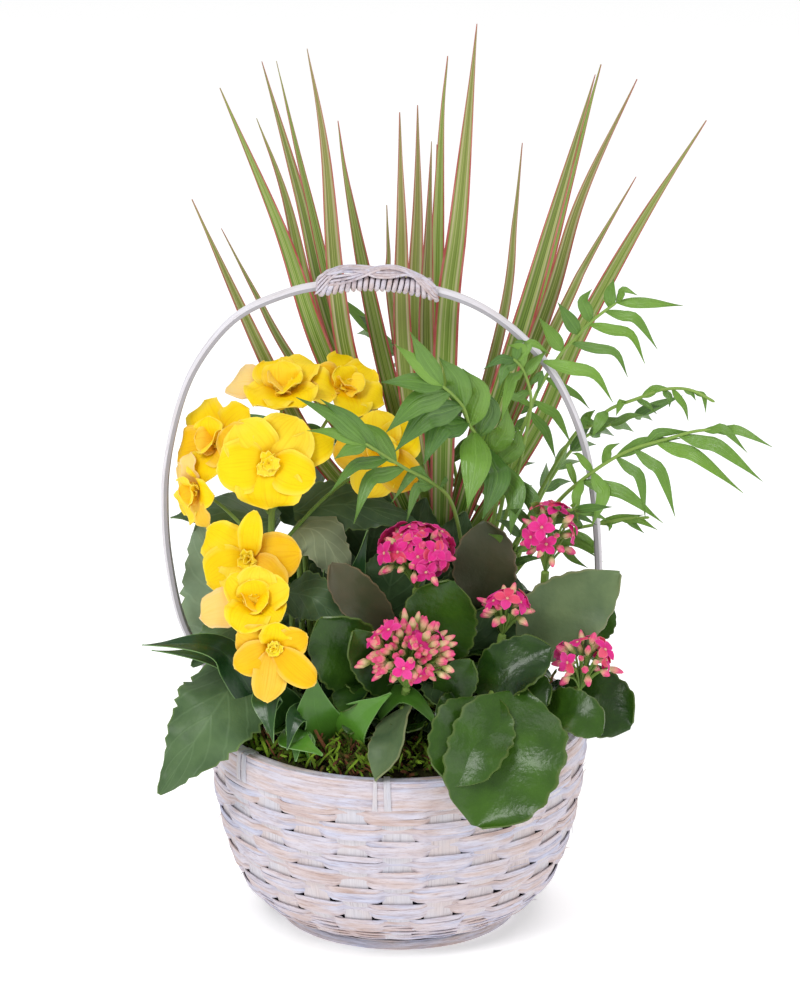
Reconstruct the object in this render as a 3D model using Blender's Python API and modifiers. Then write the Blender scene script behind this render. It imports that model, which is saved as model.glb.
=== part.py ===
"""Planted flower basket: a whitewashed woven bowl with a fixed hoop handle, filled
with soil and moss and planted with a tricolour dracaena, a parlour palm, a yellow
begonia, pink kalanchoes and dark compact dracaenas. Stands on the XY plane, front
towards -Y, metres."""

import math

import bmesh
import bpy
from mathutils import Vector

# Driving dimensions, millimetres
RIM_Z = 124.0
RIM_BAND_Z = 106.5
RIM_BAND_R = (112.3, 114.6)
INNER_HOOP_R = (105.7, 108.7)
INNER_HOOP_Z = (114.0, 124.5)
FOOT_R = (67.9, 73.0)
FOOT_H = 7.1
WALL = 3.0
LINER_TOP = 104.0
SOIL_TOP = 104.0
MOSS_R = 99.8
MOSS_TOP = 136.0
STRIP_T = 4.6
STRIP_W = 9.0
GRIP_GAP = 0.3
CROWN_Z = 208.0
CROWN_XY = (25.0, 45.0)
SOCKET_FLOOR = 72.0
LATHE_STEPS = 40

# Centreline of the hoop handle as (x, z), foot to foot
HOOP = [(-102.5, 84), (-102.5, 100), (-102.5, 114), (-103.0, 127), (-112, 146), (-130, 182), (-138, 222), (-140, 261),
        (-138, 286), (-131, 318), (-121, 343), (-106, 365), (-90, 379), (-68, 389), (-47, 394), (-12, 396),
        (23, 391), (49, 381), (73, 363), (92, 340), (106, 312), (115, 280), (119.5, 242), (120.5, 200),
        (112, 152), (103.0, 127), (102.5, 114), (102.5, 100), (102.5, 84)]

COLOURS = {
    "splint": (0.74, 0.69, 0.68, 0.75), "cane": (0.62, 0.56, 0.54, 0.7), "liner": (0.03, 0.03, 0.03, 0.5),
    "soil": (0.035, 0.022, 0.014, 1.0), "moss": (0.10, 0.14, 0.03, 1.0), "bark": (0.20, 0.15, 0.08, 0.9),
    "sword": (0.30, 0.36, 0.10, 0.5), "palm": (0.09, 0.27, 0.04, 0.45), "begonia_petal": (0.95, 0.68, 0.01, 0.5),
    "begonia_leaf": (0.06, 0.16, 0.05, 0.45), "kalanchoe_leaf": (0.03, 0.10, 0.04, 0.4),
    "kalanchoe_flower": (0.80, 0.08, 0.25, 0.5), "compacta": (0.02, 0.11, 0.03, 0.3),
}

for old in list(bpy.data.objects):
    bpy.data.objects.remove(old, do_unlink=True)

parts = bpy.data.collections.new("flower_basket_arrangement")
cutters = bpy.data.collections.new("cutters")
bpy.context.scene.collection.children.link(parts)
bpy.context.scene.collection.children.link(cutters)
cutters.hide_render = True


def finish_named(key):
    mat = bpy.data.materials.get(key)
    if mat is None:
        mat = bpy.data.materials.new(key)
        mat.use_nodes = True
        shader = mat.node_tree.nodes["Principled BSDF"]
        *rgb, rough = COLOURS[key]
        shader.inputs["Base Color"].default_value = (*rgb, 1.0)
        shader.inputs["Roughness"].default_value = rough
        mat.diffuse_color = (*rgb, 1.0)
    return mat


def add_object(name, mesh, finish, smooth=True, into=None):
    obj = bpy.data.objects.new(name, mesh)
    (into or parts).objects.link(obj)
    if finish:
        mesh.materials.append(finish_named(finish))
    for face in mesh.polygons:
        face.use_smooth = smooth
    return obj


def mesh_from(bm, name):
    bmesh.ops.recalc_face_normals(bm, faces=bm.faces)
    for v in bm.verts:
        v.co *= 0.001
    mesh = bpy.data.meshes.new(name)
    bm.to_mesh(mesh)
    bm.free()
    return mesh


def lathe(name, profile, finish, closed=False, steps=LATHE_STEPS):
    """Turns an (r, z) profile in mm round the Z axis."""
    mesh = bpy.data.meshes.new(name)
    edges = [(i, i + 1) for i in range(len(profile) - 1)]
    if closed:
        edges.append((len(profile) - 1, 0))
    mesh.from_pydata([(r * 0.001, 0, z * 0.001) for r, z in profile], edges, [])
    obj = add_object(name, mesh, finish)
    screw = obj.modifiers.new("turn", "SCREW")
    screw.steps = screw.render_steps = steps
    screw.use_merge_vertices = True
    screw.merge_threshold = 0.00001
    screw.use_normal_calculate = True
    screw.use_normal_flip = closed
    return obj


def band(radii, heights):
    """Profile of a flat hoop, down its outer side and back up its inner side."""
    (inner, outer), (low, high) = radii, heights
    return [(inner, high), (outer, high), (outer, low), (inner, low)]


def solidify(obj, thickness):
    mod = obj.modifiers.new("thickness", "SOLIDIFY")
    mod.thickness = thickness * 0.001
    mod.offset = 0.0
    mod.use_even_offset = False


def smooth_line(points, count):
    """count + 1 points, evenly spread in length, on one smooth curve through the given ones."""
    pts = [Vector(p) for p in points]
    if len(pts) == 2:
        dense = [pts[0].lerp(pts[1], i / 20) for i in range(21)]
    else:
        ext = [2 * pts[0] - pts[1]] + pts + [2 * pts[-1] - pts[-2]]
        dense = [pts[0].copy()]
        for i in range(1, len(ext) - 2):
            a, b, c, d = ext[i - 1:i + 3]
            for k in range(1, 13):
                t = k / 12
                dense.append(0.5 * ((2 * b) + (c - a) * t + (2 * a - 5 * b + 4 * c - d) * t * t
                                    + (3 * b - a - 3 * c + d) * t ** 3))
    run = [0.0]
    for p, q in zip(dense, dense[1:]):
        run.append(run[-1] + (q - p).length)
    found, j = [], 0
    for i in range(count + 1):
        want = run[-1] * i / count
        while j < len(run) - 2 and run[j + 1] < want:
            j += 1
        step = run[j + 1] - run[j]
        found.append(dense[j].lerp(dense[j + 1], (want - run[j]) / step if step else 0))
    return found


SWORD = (0.70, 0.85, 0.95, 1.0, 1.0, 0.92, 0.78, 0.55)
LANCE = (0.45, 0.8, 1.0, 0.95, 0.75, 0.42)
OVATE = (0.30, 0.8, 1.0, 1.0, 0.8, 0.45)
LEAFLET = (0.85, 1.0, 0.6)


class Sprig:
    """A stem ribbon with leaves growing from its edges, one open sheet given a thickness."""

    def __init__(self, name, thickness, finish):
        self.name, self.thickness, self.finish = name, thickness, finish
        self.bm = bmesh.new()
        self.rows = []

    def ribbon(self, points, width, count, face=(0, -1, 0)):
        line = smooth_line(points, count)
        for i, p in enumerate(line):
            ahead = (line[min(i + 1, count)] - line[max(i - 1, 0)]).normalized()
            side = ahead.cross(Vector(face)).normalized() * width / 2
            self.rows.append((self.bm.verts.new(p - side), self.bm.verts.new(p + side)))
        for (a, b), (c, d) in zip(self.rows, self.rows[1:]):
            self.bm.faces.new((a, b, d, c))

    def leaf(self, row, side, points, width, shape, face=(0, -1, 0), fold=0.12):
        """Grows a leaf from one edge of the stem: side 0 or 1, or 2 for the stem's end."""
        if side == 2:
            a, b = self.rows[-1]
        else:
            a, b = self.rows[row][side], self.rows[row + 1][side]
        middle = (a.co + b.co) / 2
        line = smooth_line([middle] + [Vector(p) for p in points], len(shape) + 1)
        facing = Vector(face)
        last = None
        for i, part in enumerate(shape):
            p = line[i + 1]
            ahead = (line[i + 2] - line[i]).normalized()
            across = ahead.cross(facing).normalized()
            up = across.cross(ahead).normalized()
            if i == 0 and (b.co - a.co).dot(across) < 0:
                a, b = b, a
            half = across * width * part / 2
            lift = up * (width * part * fold)
            left = self.bm.verts.new(p - half + lift)
            mid = self.bm.verts.new(p)
            right = self.bm.verts.new(p + half + lift)
            if last is None:
                for face_verts in ((a, left, mid), (a, mid, b), (b, mid, right)):
                    self.bm.faces.new(face_verts)
            else:
                self.bm.faces.new((last[0], left, mid, last[1]))
                self.bm.faces.new((last[1], mid, right, last[2]))
            last = (left, mid, right)
        tip = self.bm.verts.new(line[-1])
        self.bm.faces.new((last[0], tip, last[1]))
        self.bm.faces.new((last[1], tip, last[2]))

    def twig(self, row, side, points, width, steps=5):
        """Grows a side branch of even width, ending square."""
        a, b = self.rows[row][side], self.rows[row + 1][side]
        line = smooth_line([(a.co + b.co) / 2] + [Vector(p) for p in points], steps)
        for i in range(1, steps + 1):
            ahead = (line[i] - line[i - 1]).normalized()
            across = ahead.cross(Vector((0, -1, 0.2))).normalized() * width / 2
            if i == 1 and (b.co - a.co).dot(across) < 0:
                a, b = b, a
            c, d = self.bm.verts.new(line[i] - across), self.bm.verts.new(line[i] + across)
            self.bm.faces.new((a, b, d, c))
            a, b = c, d

    def grown(self):
        obj = add_object(self.name, mesh_from(self.bm, self.name), self.finish)
        solidify(obj, self.thickness)
        return obj


def blade(name, points, width, shape, thickness, finish, face=(0, -1, 0), fold=0.12):
    """A single leaf: a short heel, then the blade."""
    sprig = Sprig(name, thickness, finish)
    line = smooth_line(points, 40)
    sprig.ribbon([line[0], line[1]], width * shape[0] * 0.9, 1, face)
    sprig.leaf(0, 2, [tuple(p) for p in (line[14], line[27], line[40])], width, shape, face, fold)
    return sprig.grown()


sockets = []


def socket(x, y, radius):
    bm = bmesh.new()
    bmesh.ops.create_cone(bm, cap_ends=True, segments=12, radius1=radius, radius2=radius, depth=100)
    bmesh.ops.translate(bm, verts=bm.verts, vec=(x, y, SOCKET_FLOOR + 50))
    cutter = add_object(f"socket_{len(sockets):02d}", mesh_from(bm, "socket"), None, False, cutters)
    cutter.display_type = "WIRE"
    sockets.append(cutter)


# Basket
lathe("basket_bowl", [(0, 3), (61, 3), (64.2, 10.8), (76, 11.2), (81.5, 15.5), (89, 24.5), (95, 36.5),
                      (99.5, 49.5), (103, 63), (106, 78.5), (108, 92), (109, 106), (109, 123.7), (112, 123.7),
                      (112, 106), (111, 92), (109, 78), (106, 62), (102.5, 48), (98, 35), (92, 23), (84, 13),
                      (77, 7.4), (67.5, 7.4), (67.5, 0), (0, 0)], "splint")
lathe("foot_hoop", band(FOOT_R, (0, FOOT_H)), "splint", True)
lathe("rim_band", band(RIM_BAND_R, (RIM_BAND_Z, RIM_Z)), "splint", True)
lathe("rim_inner_hoop", band(INNER_HOOP_R, INNER_HOOP_Z), "cane", True)
lathe("pot_liner", [(0, 4.8), (59.3, 4.8), (62.3, 12.8), (74.4, 13.1), (79.4, 17.1), (86.6, 25.8), (92, 37.6),
                    (95.5, 50.3), (97.5, 64.1), (98.5, 80), (98.5, LINER_TOP), (100, LINER_TOP), (100, 80),
                    (99, 64), (97, 50), (93.5, 37), (88, 25), (80.5, 16), (75, 11.6), (63.5, 11.4), (60.5, 3.3),
                    (0, 3.3)], "liner")
soil = lathe("potting_soil", [(0, SOIL_TOP), (97.8, SOIL_TOP), (98.1, 80), (97.1, 64.2), (95.1, 50.4),
                              (91.5, 37.8), (86, 26.1), (78.9, 17.5), (74, 13.5), (61.8, 13.2), (58.8, 5.1),
                              (0, 5.1)], "soil")
moss = lathe("moss_top", [(0, MOSS_TOP), (45, MOSS_TOP - 1), (72, 134), (86, 130), (95, 124), (MOSS_R, 115),
                          (MOSS_R, SOIL_TOP + 0.3), (0, SOIL_TOP + 0.3)], "moss")

# Hoop handle: a flat strip standing across the basket, with a wrapped and plaited grip
hoop_line = smooth_line([(x, 0, z) for x, z in HOOP], 56)
bm = bmesh.new()
rows = [[bm.verts.new((p.x, y, p.z)) for y in (-STRIP_W / 2, STRIP_W / 2)] for p in hoop_line]
for (a, b), (c, d) in zip(rows, rows[1:]):
    bm.faces.new((a, b, d, c))
handle = add_object("handle_hoop", mesh_from(bm, "handle_hoop"), "splint")
solidify(handle, STRIP_T)

GRIP_SPAN = (-49.0, 24.0)
grip_line = [p for p in smooth_line([(x, 0, z) for x, z in HOOP], 400) if GRIP_SPAN[0] <= p.x <= GRIP_SPAN[1]]
TURNS = 14


def grip_frame(t):
    i = min(int(t * (len(grip_line) - 1)), len(grip_line) - 2)
    k = t * (len(grip_line) - 1) - i
    p = grip_line[i].lerp(grip_line[i + 1], k)
    ahead = (grip_line[min(i + 2, len(grip_line) - 1)] - grip_line[max(i - 2, 0)]).normalized()
    return p, Vector((-ahead.z, 0, ahead.x))


bm = bmesh.new()
rings = []
for i in range(2 * TURNS + 1):
    p, out = grip_frame(i / (2 * TURNS))
    swell = 0.9 if i % 2 else 0.0
    loops = []
    for reach, deep in ((STRIP_T / 2 + GRIP_GAP, STRIP_W / 2 + GRIP_GAP),
                        (STRIP_T / 2 + 2.4 + swell, STRIP_W / 2 + 2.4 + swell)):
        loops.append([bm.verts.new(p + out * reach * s + Vector((0, deep * q, 0)))
                      for s, q in ((1, 1), (1, -1), (-1, -1), (-1, 1))])
    rings.append(loops)
for first, second in zip(rings, rings[1:]):
    for inner in (0, 1):
        for k in range(4):
            bm.faces.new((first[inner][k], first[inner][(k + 1) % 4], second[inner][(k + 1) % 4], second[inner][k]))
for end in (rings[0], rings[-1]):
    for k in range(4):
        bm.faces.new((end[0][k], end[0][(k + 1) % 4], end[1][(k + 1) % 4], end[1][k]))
add_object("handle_grip_wrap", mesh_from(bm, "handle_grip_wrap"), "cane", False)

bm = bmesh.new()
last = None
for i in range(25):
    t = i / 24
    p, out = grip_frame(0.04 + 0.92 * t)
    low = STRIP_T / 2 + 3.3 + GRIP_GAP
    hump = 4.4 + 2.6 * abs(math.sin(3 * math.pi * t + 0.3))
    wide = 4.6 + 1.2 * math.sin(6 * math.pi * t)
    ring = [bm.verts.new(p + out * r + Vector((0, y, 0)))
            for r, y in ((low, -wide), (low, wide), (low + hump * 0.6, wide), (low + hump, wide * 0.4),
                         (low + hump, -wide * 0.4), (low + hump * 0.6, -wide))]
    if last:
        for k in range(6):
            bm.faces.new((last[k], last[(k + 1) % 6], ring[(k + 1) % 6], ring[k]))
    else:
        bm.faces.new(ring)
    last = ring
bm.faces.new(last)
add_object("handle_grip_braid", mesh_from(bm, "handle_grip_braid"), "cane", False)

# Tricolour dracaena: cane with a swollen crown, and sword leaves fanned in layers front to back
cx, cy = CROWN_XY
lathe_profile = [(0, CROWN_Z), (9, CROWN_Z), (11.5, 202), (10, 190), (6.8, 172), (6.5, 120), (6.5, SOCKET_FLOOR + 1),
                 (0, SOCKET_FLOOR + 1)]
cane = lathe("dracaena_cane", lathe_profile, "bark", steps=20)
cane.location = (cx * 0.001, cy * 0.001, 0)
socket(cx, cy, 7.2)

SWORDS = [  # width, then points from the first bend to the tip, front leaf first
    (11.4, (29, 32, 361), (36, 22, 431), (46, 10, 549)),
    (9.5, (-30, 34, 339), (-43, 26, 470), (-53, 16, 533)),
    (9.0, (4, 37, 337), (2, 31, 428), (1, 25, 493)),
    (10.0, (74, 37, 357), (92, 33, 424), (116, 28, 515)),
    (10.0, (-43, 39, 337), (-70, 37, 419), (-105, 32, 506)),
    (8.0, (-50, 41, 278), (-80, 42, 336), (-123, 42, 436)),
    (9.0, (17, 43, 344), (18, 46, 411), (20, 48, 470)),
    (8.5, (85, 46, 293), (109, 48, 350), (145, 52, 418), (184, 56, 481)),
    (8.0, (88, 52, 360), (110, 60, 432), (143, 70, 503)),
    (9.0, (-11, 53, 344), (-30, 62, 438), (-36, 68, 478)),
    (6.0, (-32, 58, 344), (-55, 72, 434), (-73, 84, 511)),
    (8.0, (23, 62, 349), (26, 84, 464), (30, 98, 511)),
    (9.0, (-44, 66, 329), (-68, 88, 424), (-86, 105, 471)),
    (9.0, (11, 70, 337), (12, 106, 417), (12, 132, 473)),
    (9.0, (79, 74, 351), (102, 112, 421), (125, 148, 495)),
    (10.0, (-38, 78, 343), (-60, 120, 419), (-84, 152, 496)),
    (6.0, (102, 92, 355), (117, 118, 378), (148, 152, 423)),
]
for n, (width, *pts) in enumerate(SWORDS):
    layer = n - (len(SWORDS) - 1) / 2
    lean = (pts[0][0] - cx) / (pts[0][2] - CROWN_Z)
    root = (cx + 9.5 * lean, cy + 2.25 * layer, CROWN_Z + 1.6)
    second = (root[0] + 22 * lean, root[1] + (pts[0][1] - root[1]) * 0.15, root[2] + 22)
    blade(f"dracaena_leaf_{n + 1:02d}", [root, second] + pts, width, SWORD, 0.9, "sword", fold=0.08)

# Parlour palm: arching fronds, each with its own petiole set in the soil
FRONDS = [  # foot, spine, leaflet length, pairs, first pair, angle out, droop, facing
    ((50, 36), [(62, 28, 249), (85, 22, 325), (99, 22, 346), (116, 20, 367), (130, 15, 380)],
     40, 5, 0.64, 62, 0.35, (0, -1, 0.2)),
    ((62, 44), [(85, 40, 248), (117, 26, 306), (154, 2, 331), (187, -14, 327)], 20, 5, 0.70, 50, 0.9, (0, -0.3, 1)),
    ((66, 26), [(85, 4, 249), (118, -22, 290), (173, -46, 318), (217, -66, 316)], 36, 5, 0.66, 50, 0.6, (0, -0.7, 0.7)),
    ((48, 19), [(56, 8, 258), (50, -12, 312), (34, -35, 342), (16, -55, 364)], 36, 5, 0.66, 60, 0.3, (0.2, -1, 0.4)),
    ((38, 22), [(40, -6, 255), (25, -34, 286), (-2, -56, 304), (-22, -68, 318)], 32, 4, 0.70, 55, 0.5, (0, -0.8, 0.7)),
    ((56, 26), [(73, 10, 292), (80, -9, 325), (69, -28, 345), (54, -43, 344)], 16, 4, 0.76, 60, 0.6, (0, -0.5, 1)),
    ((72, 38), [(82, 26, 215), (103, 18, 236), (127, 12, 245), (151, -2, 252)], 15, 4, 0.66, 45, 0.5, (0, -0.6, 1)),
]
for n, (foot, spine, reach, pairs, first, angle, droop, face) in enumerate(FRONDS):
    sprig = Sprig(f"palm_frond_{n + 1}", 0.9, "palm")
    fx, fy = foot
    count = 36
    sprig.ribbon([(fx, fy, SOCKET_FLOOR + 1), (fx, fy, 110), (fx, fy, 145)] + spine, 2.2, count, face)
    start = round(first * count)
    for k in range(pairs):
        row = start + round(k * (count - 2 - start) / (pairs - 1))
        a, b = sprig.rows[row][0].co, sprig.rows[row + 1][0].co
        ahead = (b - a).normalized()
        out = ahead.cross(Vector(face)).normalized()
        size = reach * (0.75 + 0.25 * math.sin(math.pi * (k + 0.5) / pairs))
        for side in (0, 1):
            hand = -1 if side == 0 else 1
            way = (ahead * math.cos(math.radians(angle)) + out * hand * math.sin(math.radians(angle)))
            foot_at = (sprig.rows[row][side].co + sprig.rows[row + 1][side].co) / 2
            mid = foot_at + way * size * 0.5 + Vector((0, 0, -0.05 * size * droop))
            tip = foot_at + way * size + Vector((0, 0, -0.45 * size * droop))
            sprig.leaf(row, side, [tuple(mid), tuple(tip)], size * 0.24, LEAFLET, face, 0.05)
    sprig.leaf(0, 2, [tuple(sprig.rows[-1][0].co + (sprig.rows[-1][0].co - sprig.rows[-2][0].co).normalized()
                            * reach * s + Vector((0, 0, -0.3 * reach * droop * s * s))) for s in (0.5, 1.0)],
               reach * 0.2, LEAFLET, face, 0.05)
    sprig.grown()
    socket(fx, fy, 3.3)

# Begonia: one branching stem, leaves on their own stalks, and broad ruffled flowers
stem = Sprig("begonia_stem", 2.2, "begonia_leaf")
stem.ribbon([(-72, -22, SOCKET_FLOOR + 1), (-72, -22, 150), (-75, -18, 200), (-76, -14, 240), (-74, -12, 282)], 4.0, 24)
FLOWERS = [  # centre, radius, facing, cup, stem row, stem side, way to it
    ((-76, -37, 296), 27, (-0.05, -1, 0.12), 4, 22, 1, [(-70, -20, 288)]),
    ((-68, 2, 329), 27, (-0.05, -0.4, 0.9), 5, 23, 0, [(-72, -3, 300)]),
    ((-31, 13, 327), 17, (0.25, -0.5, 0.8), 5, 21, 1, [(-52, -2, 295)]),
    ((-110, -14, 301), 20, (-0.45, -0.8, 0.4), 5, 21, 0, [(-92, -10, 278)]),
    ((-122, -20, 272), 16, (-0.75, -0.5, -0.2), 6, 18, 0, [(-100, -12, 256)]),
    ((-11, -6, 292), 22, (0.1, -0.9, 0.2), 5, 18, 1, [(-45, -2, 262), (-18, 1, 282)]),
    ((-92, -48, 238), 24, (-0.2, -0.9, 0.25), 7, 15, 0, [(-86, -30, 228)]),
    ((-84, -76, 222), 19, (0.0, -0.85, 0.35), 7, 13, 1, [(-78, -46, 202)]),
    ((-73, -92, 198), 19, (0.15, -0.95, 0.0), 4, 11, 1, [(-70, -56, 176)]),
]
for n, (centre, radius, face, cup, row, side, way) in enumerate(FLOWERS):
    bm = bmesh.new()
    axis = Vector(face).normalized()
    u = axis.cross(Vector((0, 0, 1))).normalized()
    w = u.cross(axis).normalized()
    c = Vector(centre)
    hub = bm.verts.new(c - axis * cup)
    spokes, last = 20, None
    for r in (0.3, 0.65, 1.0):
        ring = []
        for k in range(spokes):
            a = 2 * math.pi * k / spokes
            lobe = 0.86 + 0.14 * abs(math.cos(2.5 * a)) if r > 0.5 else 1.0
            rise = cup * (r * r - 1) + 0.05 * radius * r * math.cos(5 * a)
            ring.append(bm.verts.new(c + (u * math.cos(a) + w * math.sin(a)) * radius * r * lobe + axis * rise))
        for k in range(spokes):
            if last:
                bm.faces.new((last[k], last[(k + 1) % spokes], ring[(k + 1) % spokes], ring[k]))
            else:
                bm.faces.new((hub, ring[(k + 1) % spokes], ring[k]))
        last = ring
    solidify(add_object(f"begonia_flower_{n + 1}", mesh_from(bm, "flower"), "begonia_petal"), 1.4)
    end = c - axis * (cup + 2.0)
    stem.twig(row, side, [*way, tuple(end)], 2.6)
stem.grown()
socket(-72, -22, 4.0)

BEGONIA_LEAVES = [  # foot, stalk, blade, width, facing
    ((-82, -46), [(-92, -58, 163)], [(-112, -78, 152), (-143, -86, 113)], 50, (-0.25, -0.95, 0.25)),
    ((-84, 10), [(-93, 12, 168)], [(-110, 15, 196), (-128, 18, 232)], 46, (0.1, -1, 0.1)),
    ((-56, -6), [(-60, -6, 240)], [(-45, -16, 244), (-30, -24, 214)], 28, (0.1, -0.7, 0.7)),
]
for n, (foot, stalk, tip, width, face) in enumerate(BEGONIA_LEAVES):
    leaf = Sprig(f"begonia_leaf_{n + 1}", 1.0, "begonia_leaf")
    leaf.ribbon([(*foot, SOCKET_FLOOR + 1), (*foot, 135)] + stalk, 3.0, 12)
    leaf.leaf(0, 2, tip, width, OVATE, face, 0.1)
    leaf.grown()
    socket(*foot, 3.0)

# Kalanchoes: five flowering stems with thick rounded leaves, each under its own flower head
KALANCHOES = [  # foot, stem top, head centre, head radii, leaves (row, side, points, width, facing)
    ((12, -34), (11, -37, 218), (11, -37, 239), (20, 17), [
        (15, 1, [(24, -43, 196), (39, -46, 216)], 28, (0, -1, 0.2)),
        (14, 0, [(-18, -56, 186), (-36, -66, 214)], 32, (0.1, -1, 0.1))]),
    ((2, -58), (5, -84, 172), (6, -86, 194), (23, 18), [
        (12, 0, [(-6, -92, 150), (-14, -106, 130)], 26, (-0.2, -0.8, 0.5)),
        (15, 1, [(30, -64, 181), (44, -70, 197)], 20, (0, -0.9, 0.4))]),
    ((54, -50), (62, -52, 194), (64, -53, 210), (14, 13), [
        (13, 1, [(68, -84, 168), (64, -114, 146), (47, -130, 107)], 66, (0, -0.9, 0.45)),
        (14, 0, [(44, -98, 160), (24, -110, 146)], 36, (0, -0.6, 0.8))]),
    ((82, -46), (108, -62, 163), (111, -64, 181), (17, 15), [
        (13, 1, [(115, -42, 147), (138, -52, 139)], 40, (0, -0.8, 0.6)),
        (11, 0, [(72, -78, 162), (84, -92, 158)], 16, (0, -0.6, 0.8))]),
    ((84, -12), (88, -24, 224), (90, -26, 246), (17, 19), [
        (15, 1, [(102, -36, 204), (122, -42, 217)], 36, (-0.1, -1, 0.3)),
        (15, 0, [(62, -12, 214), (53, -12, 247)], 34, (0, -1, 0.1)),
        (12, 1, [(106, 10, 172), (122, 14, 190)], 20, (0.2, -1, 0.2))]),
]
for n, (foot, top, head, radii, leaves) in enumerate(KALANCHOES):
    plant = Sprig(f"kalanchoe_stem_{n + 1}", 1.8, "kalanchoe_leaf")
    plant.ribbon([(*foot, SOCKET_FLOOR + 1), (*foot, 108), (*foot, 147), top], 4.4, 20)
    for row, side, tip, width, face in leaves:
        plant.leaf(row, side, tip, width, OVATE, face, 0.08)
    plant.grown()
    socket(*foot, 4.3)
    bm = bmesh.new()
    wide, high = radii
    bmesh.ops.create_uvsphere(bm, u_segments=16, v_segments=9, radius=1.0)
    for v in bm.verts:
        bump = 1 + 0.07 * math.sin(5 * math.atan2(v.co.y, v.co.x)) * (1 - v.co.z ** 2)
        low = 0.7 if v.co.z < 0 else 1.0
        v.co = Vector((head[0] + v.co.x * wide * bump, head[1] + v.co.y * wide * bump,
                       head[2] + v.co.z * high * low))
    add_object(f"kalanchoe_head_{n + 1}", mesh_from(bm, "head"), "kalanchoe_flower")

# Compact dark dracaenas in front: short rosettes of lance leaves
ROSETTES = [  # foot, leaves (row, side, points, width, facing)
    ((-62, -56), [
        (12, 0, [(-88, -84, 182), (-118, -96, 202), (-149, -104, 204)], 20, (-0.3, -0.7, 0.7)),
        (11, 0, [(-92, -62, 170), (-122, -66, 189), (-145, -72, 191)], 14, (0, -0.6, 0.8)),
        (12, 1, [(-60, -86, 160), (-66, -101, 142)], 18, (-0.2, -0.7, 0.7)),
        (0, 2, [(-58, -60, 168), (-54, -58, 184)], 13, (0, -1, 0.1))]),
    ((-34, -52), [
        (12, 0, [(-42, -72, 164), (-46, -82, 188)], 18, (0, -1, 0.3)),
        (12, 1, [(-22, -76, 160), (-8, -86, 172)], 16, (0, -0.8, 0.5)),
        (0, 2, [(-30, -46, 200), (-18, -42, 248)], 14, (0.2, -1, 0.1))]),
]
for n, (foot, leaves) in enumerate(ROSETTES):
    plant = Sprig(f"compact_dracaena_{n + 1}", 1.0, "compacta")
    plant.ribbon([(*foot, SOCKET_FLOOR + 1), (*foot, 158)], 6.0, 14)
    for row, side, tip, width, face in leaves:
        plant.leaf(row, side, tip, width, LANCE, face, 0.15)
    plant.grown()
    socket(*foot, 4.2)

# Planting holes through the moss and into the soil
for target in (soil, moss):
    cut = target.modifiers.new("planting holes", "BOOLEAN")
    cut.operand_type = "COLLECTION"
    cut.collection = cutters
    cut.operation = "DIFFERENCE"
    cut.solver = "EXACT"
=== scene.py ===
"""Planted flower basket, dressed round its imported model: whitewashed splint weave and
hoop handle, moss, tricolour dracaena, parlour palm, yellow begonia, pink kalanchoes
and dark compact dracaenas. Shapes are worked out in millimetres."""

import math
import random

import bpy
import numpy as np
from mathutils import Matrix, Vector


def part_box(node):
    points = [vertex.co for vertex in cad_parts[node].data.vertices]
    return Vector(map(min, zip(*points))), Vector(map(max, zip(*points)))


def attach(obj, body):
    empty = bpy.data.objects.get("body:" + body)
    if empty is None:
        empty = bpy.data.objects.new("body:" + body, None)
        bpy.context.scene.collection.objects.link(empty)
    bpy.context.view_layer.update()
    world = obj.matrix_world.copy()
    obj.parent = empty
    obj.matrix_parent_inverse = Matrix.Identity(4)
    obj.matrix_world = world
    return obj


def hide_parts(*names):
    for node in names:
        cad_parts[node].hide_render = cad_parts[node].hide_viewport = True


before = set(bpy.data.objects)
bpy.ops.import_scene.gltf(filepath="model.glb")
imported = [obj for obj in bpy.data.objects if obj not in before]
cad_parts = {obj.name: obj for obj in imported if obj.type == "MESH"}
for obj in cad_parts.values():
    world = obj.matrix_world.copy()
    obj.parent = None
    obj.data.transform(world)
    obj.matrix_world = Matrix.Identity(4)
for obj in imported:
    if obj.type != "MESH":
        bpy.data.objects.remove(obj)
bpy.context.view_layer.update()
rng = random.Random(41)
MM = 0.001
FULL_TURN = 2 * math.pi
FRONT = -math.pi / 2

# ---------------------------------------------------------------- materials


def opaque(value):
    """A colour with its alpha; anything else is passed through."""
    return (*value, 1.0) if isinstance(value, tuple) and len(value) == 3 else value


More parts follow.
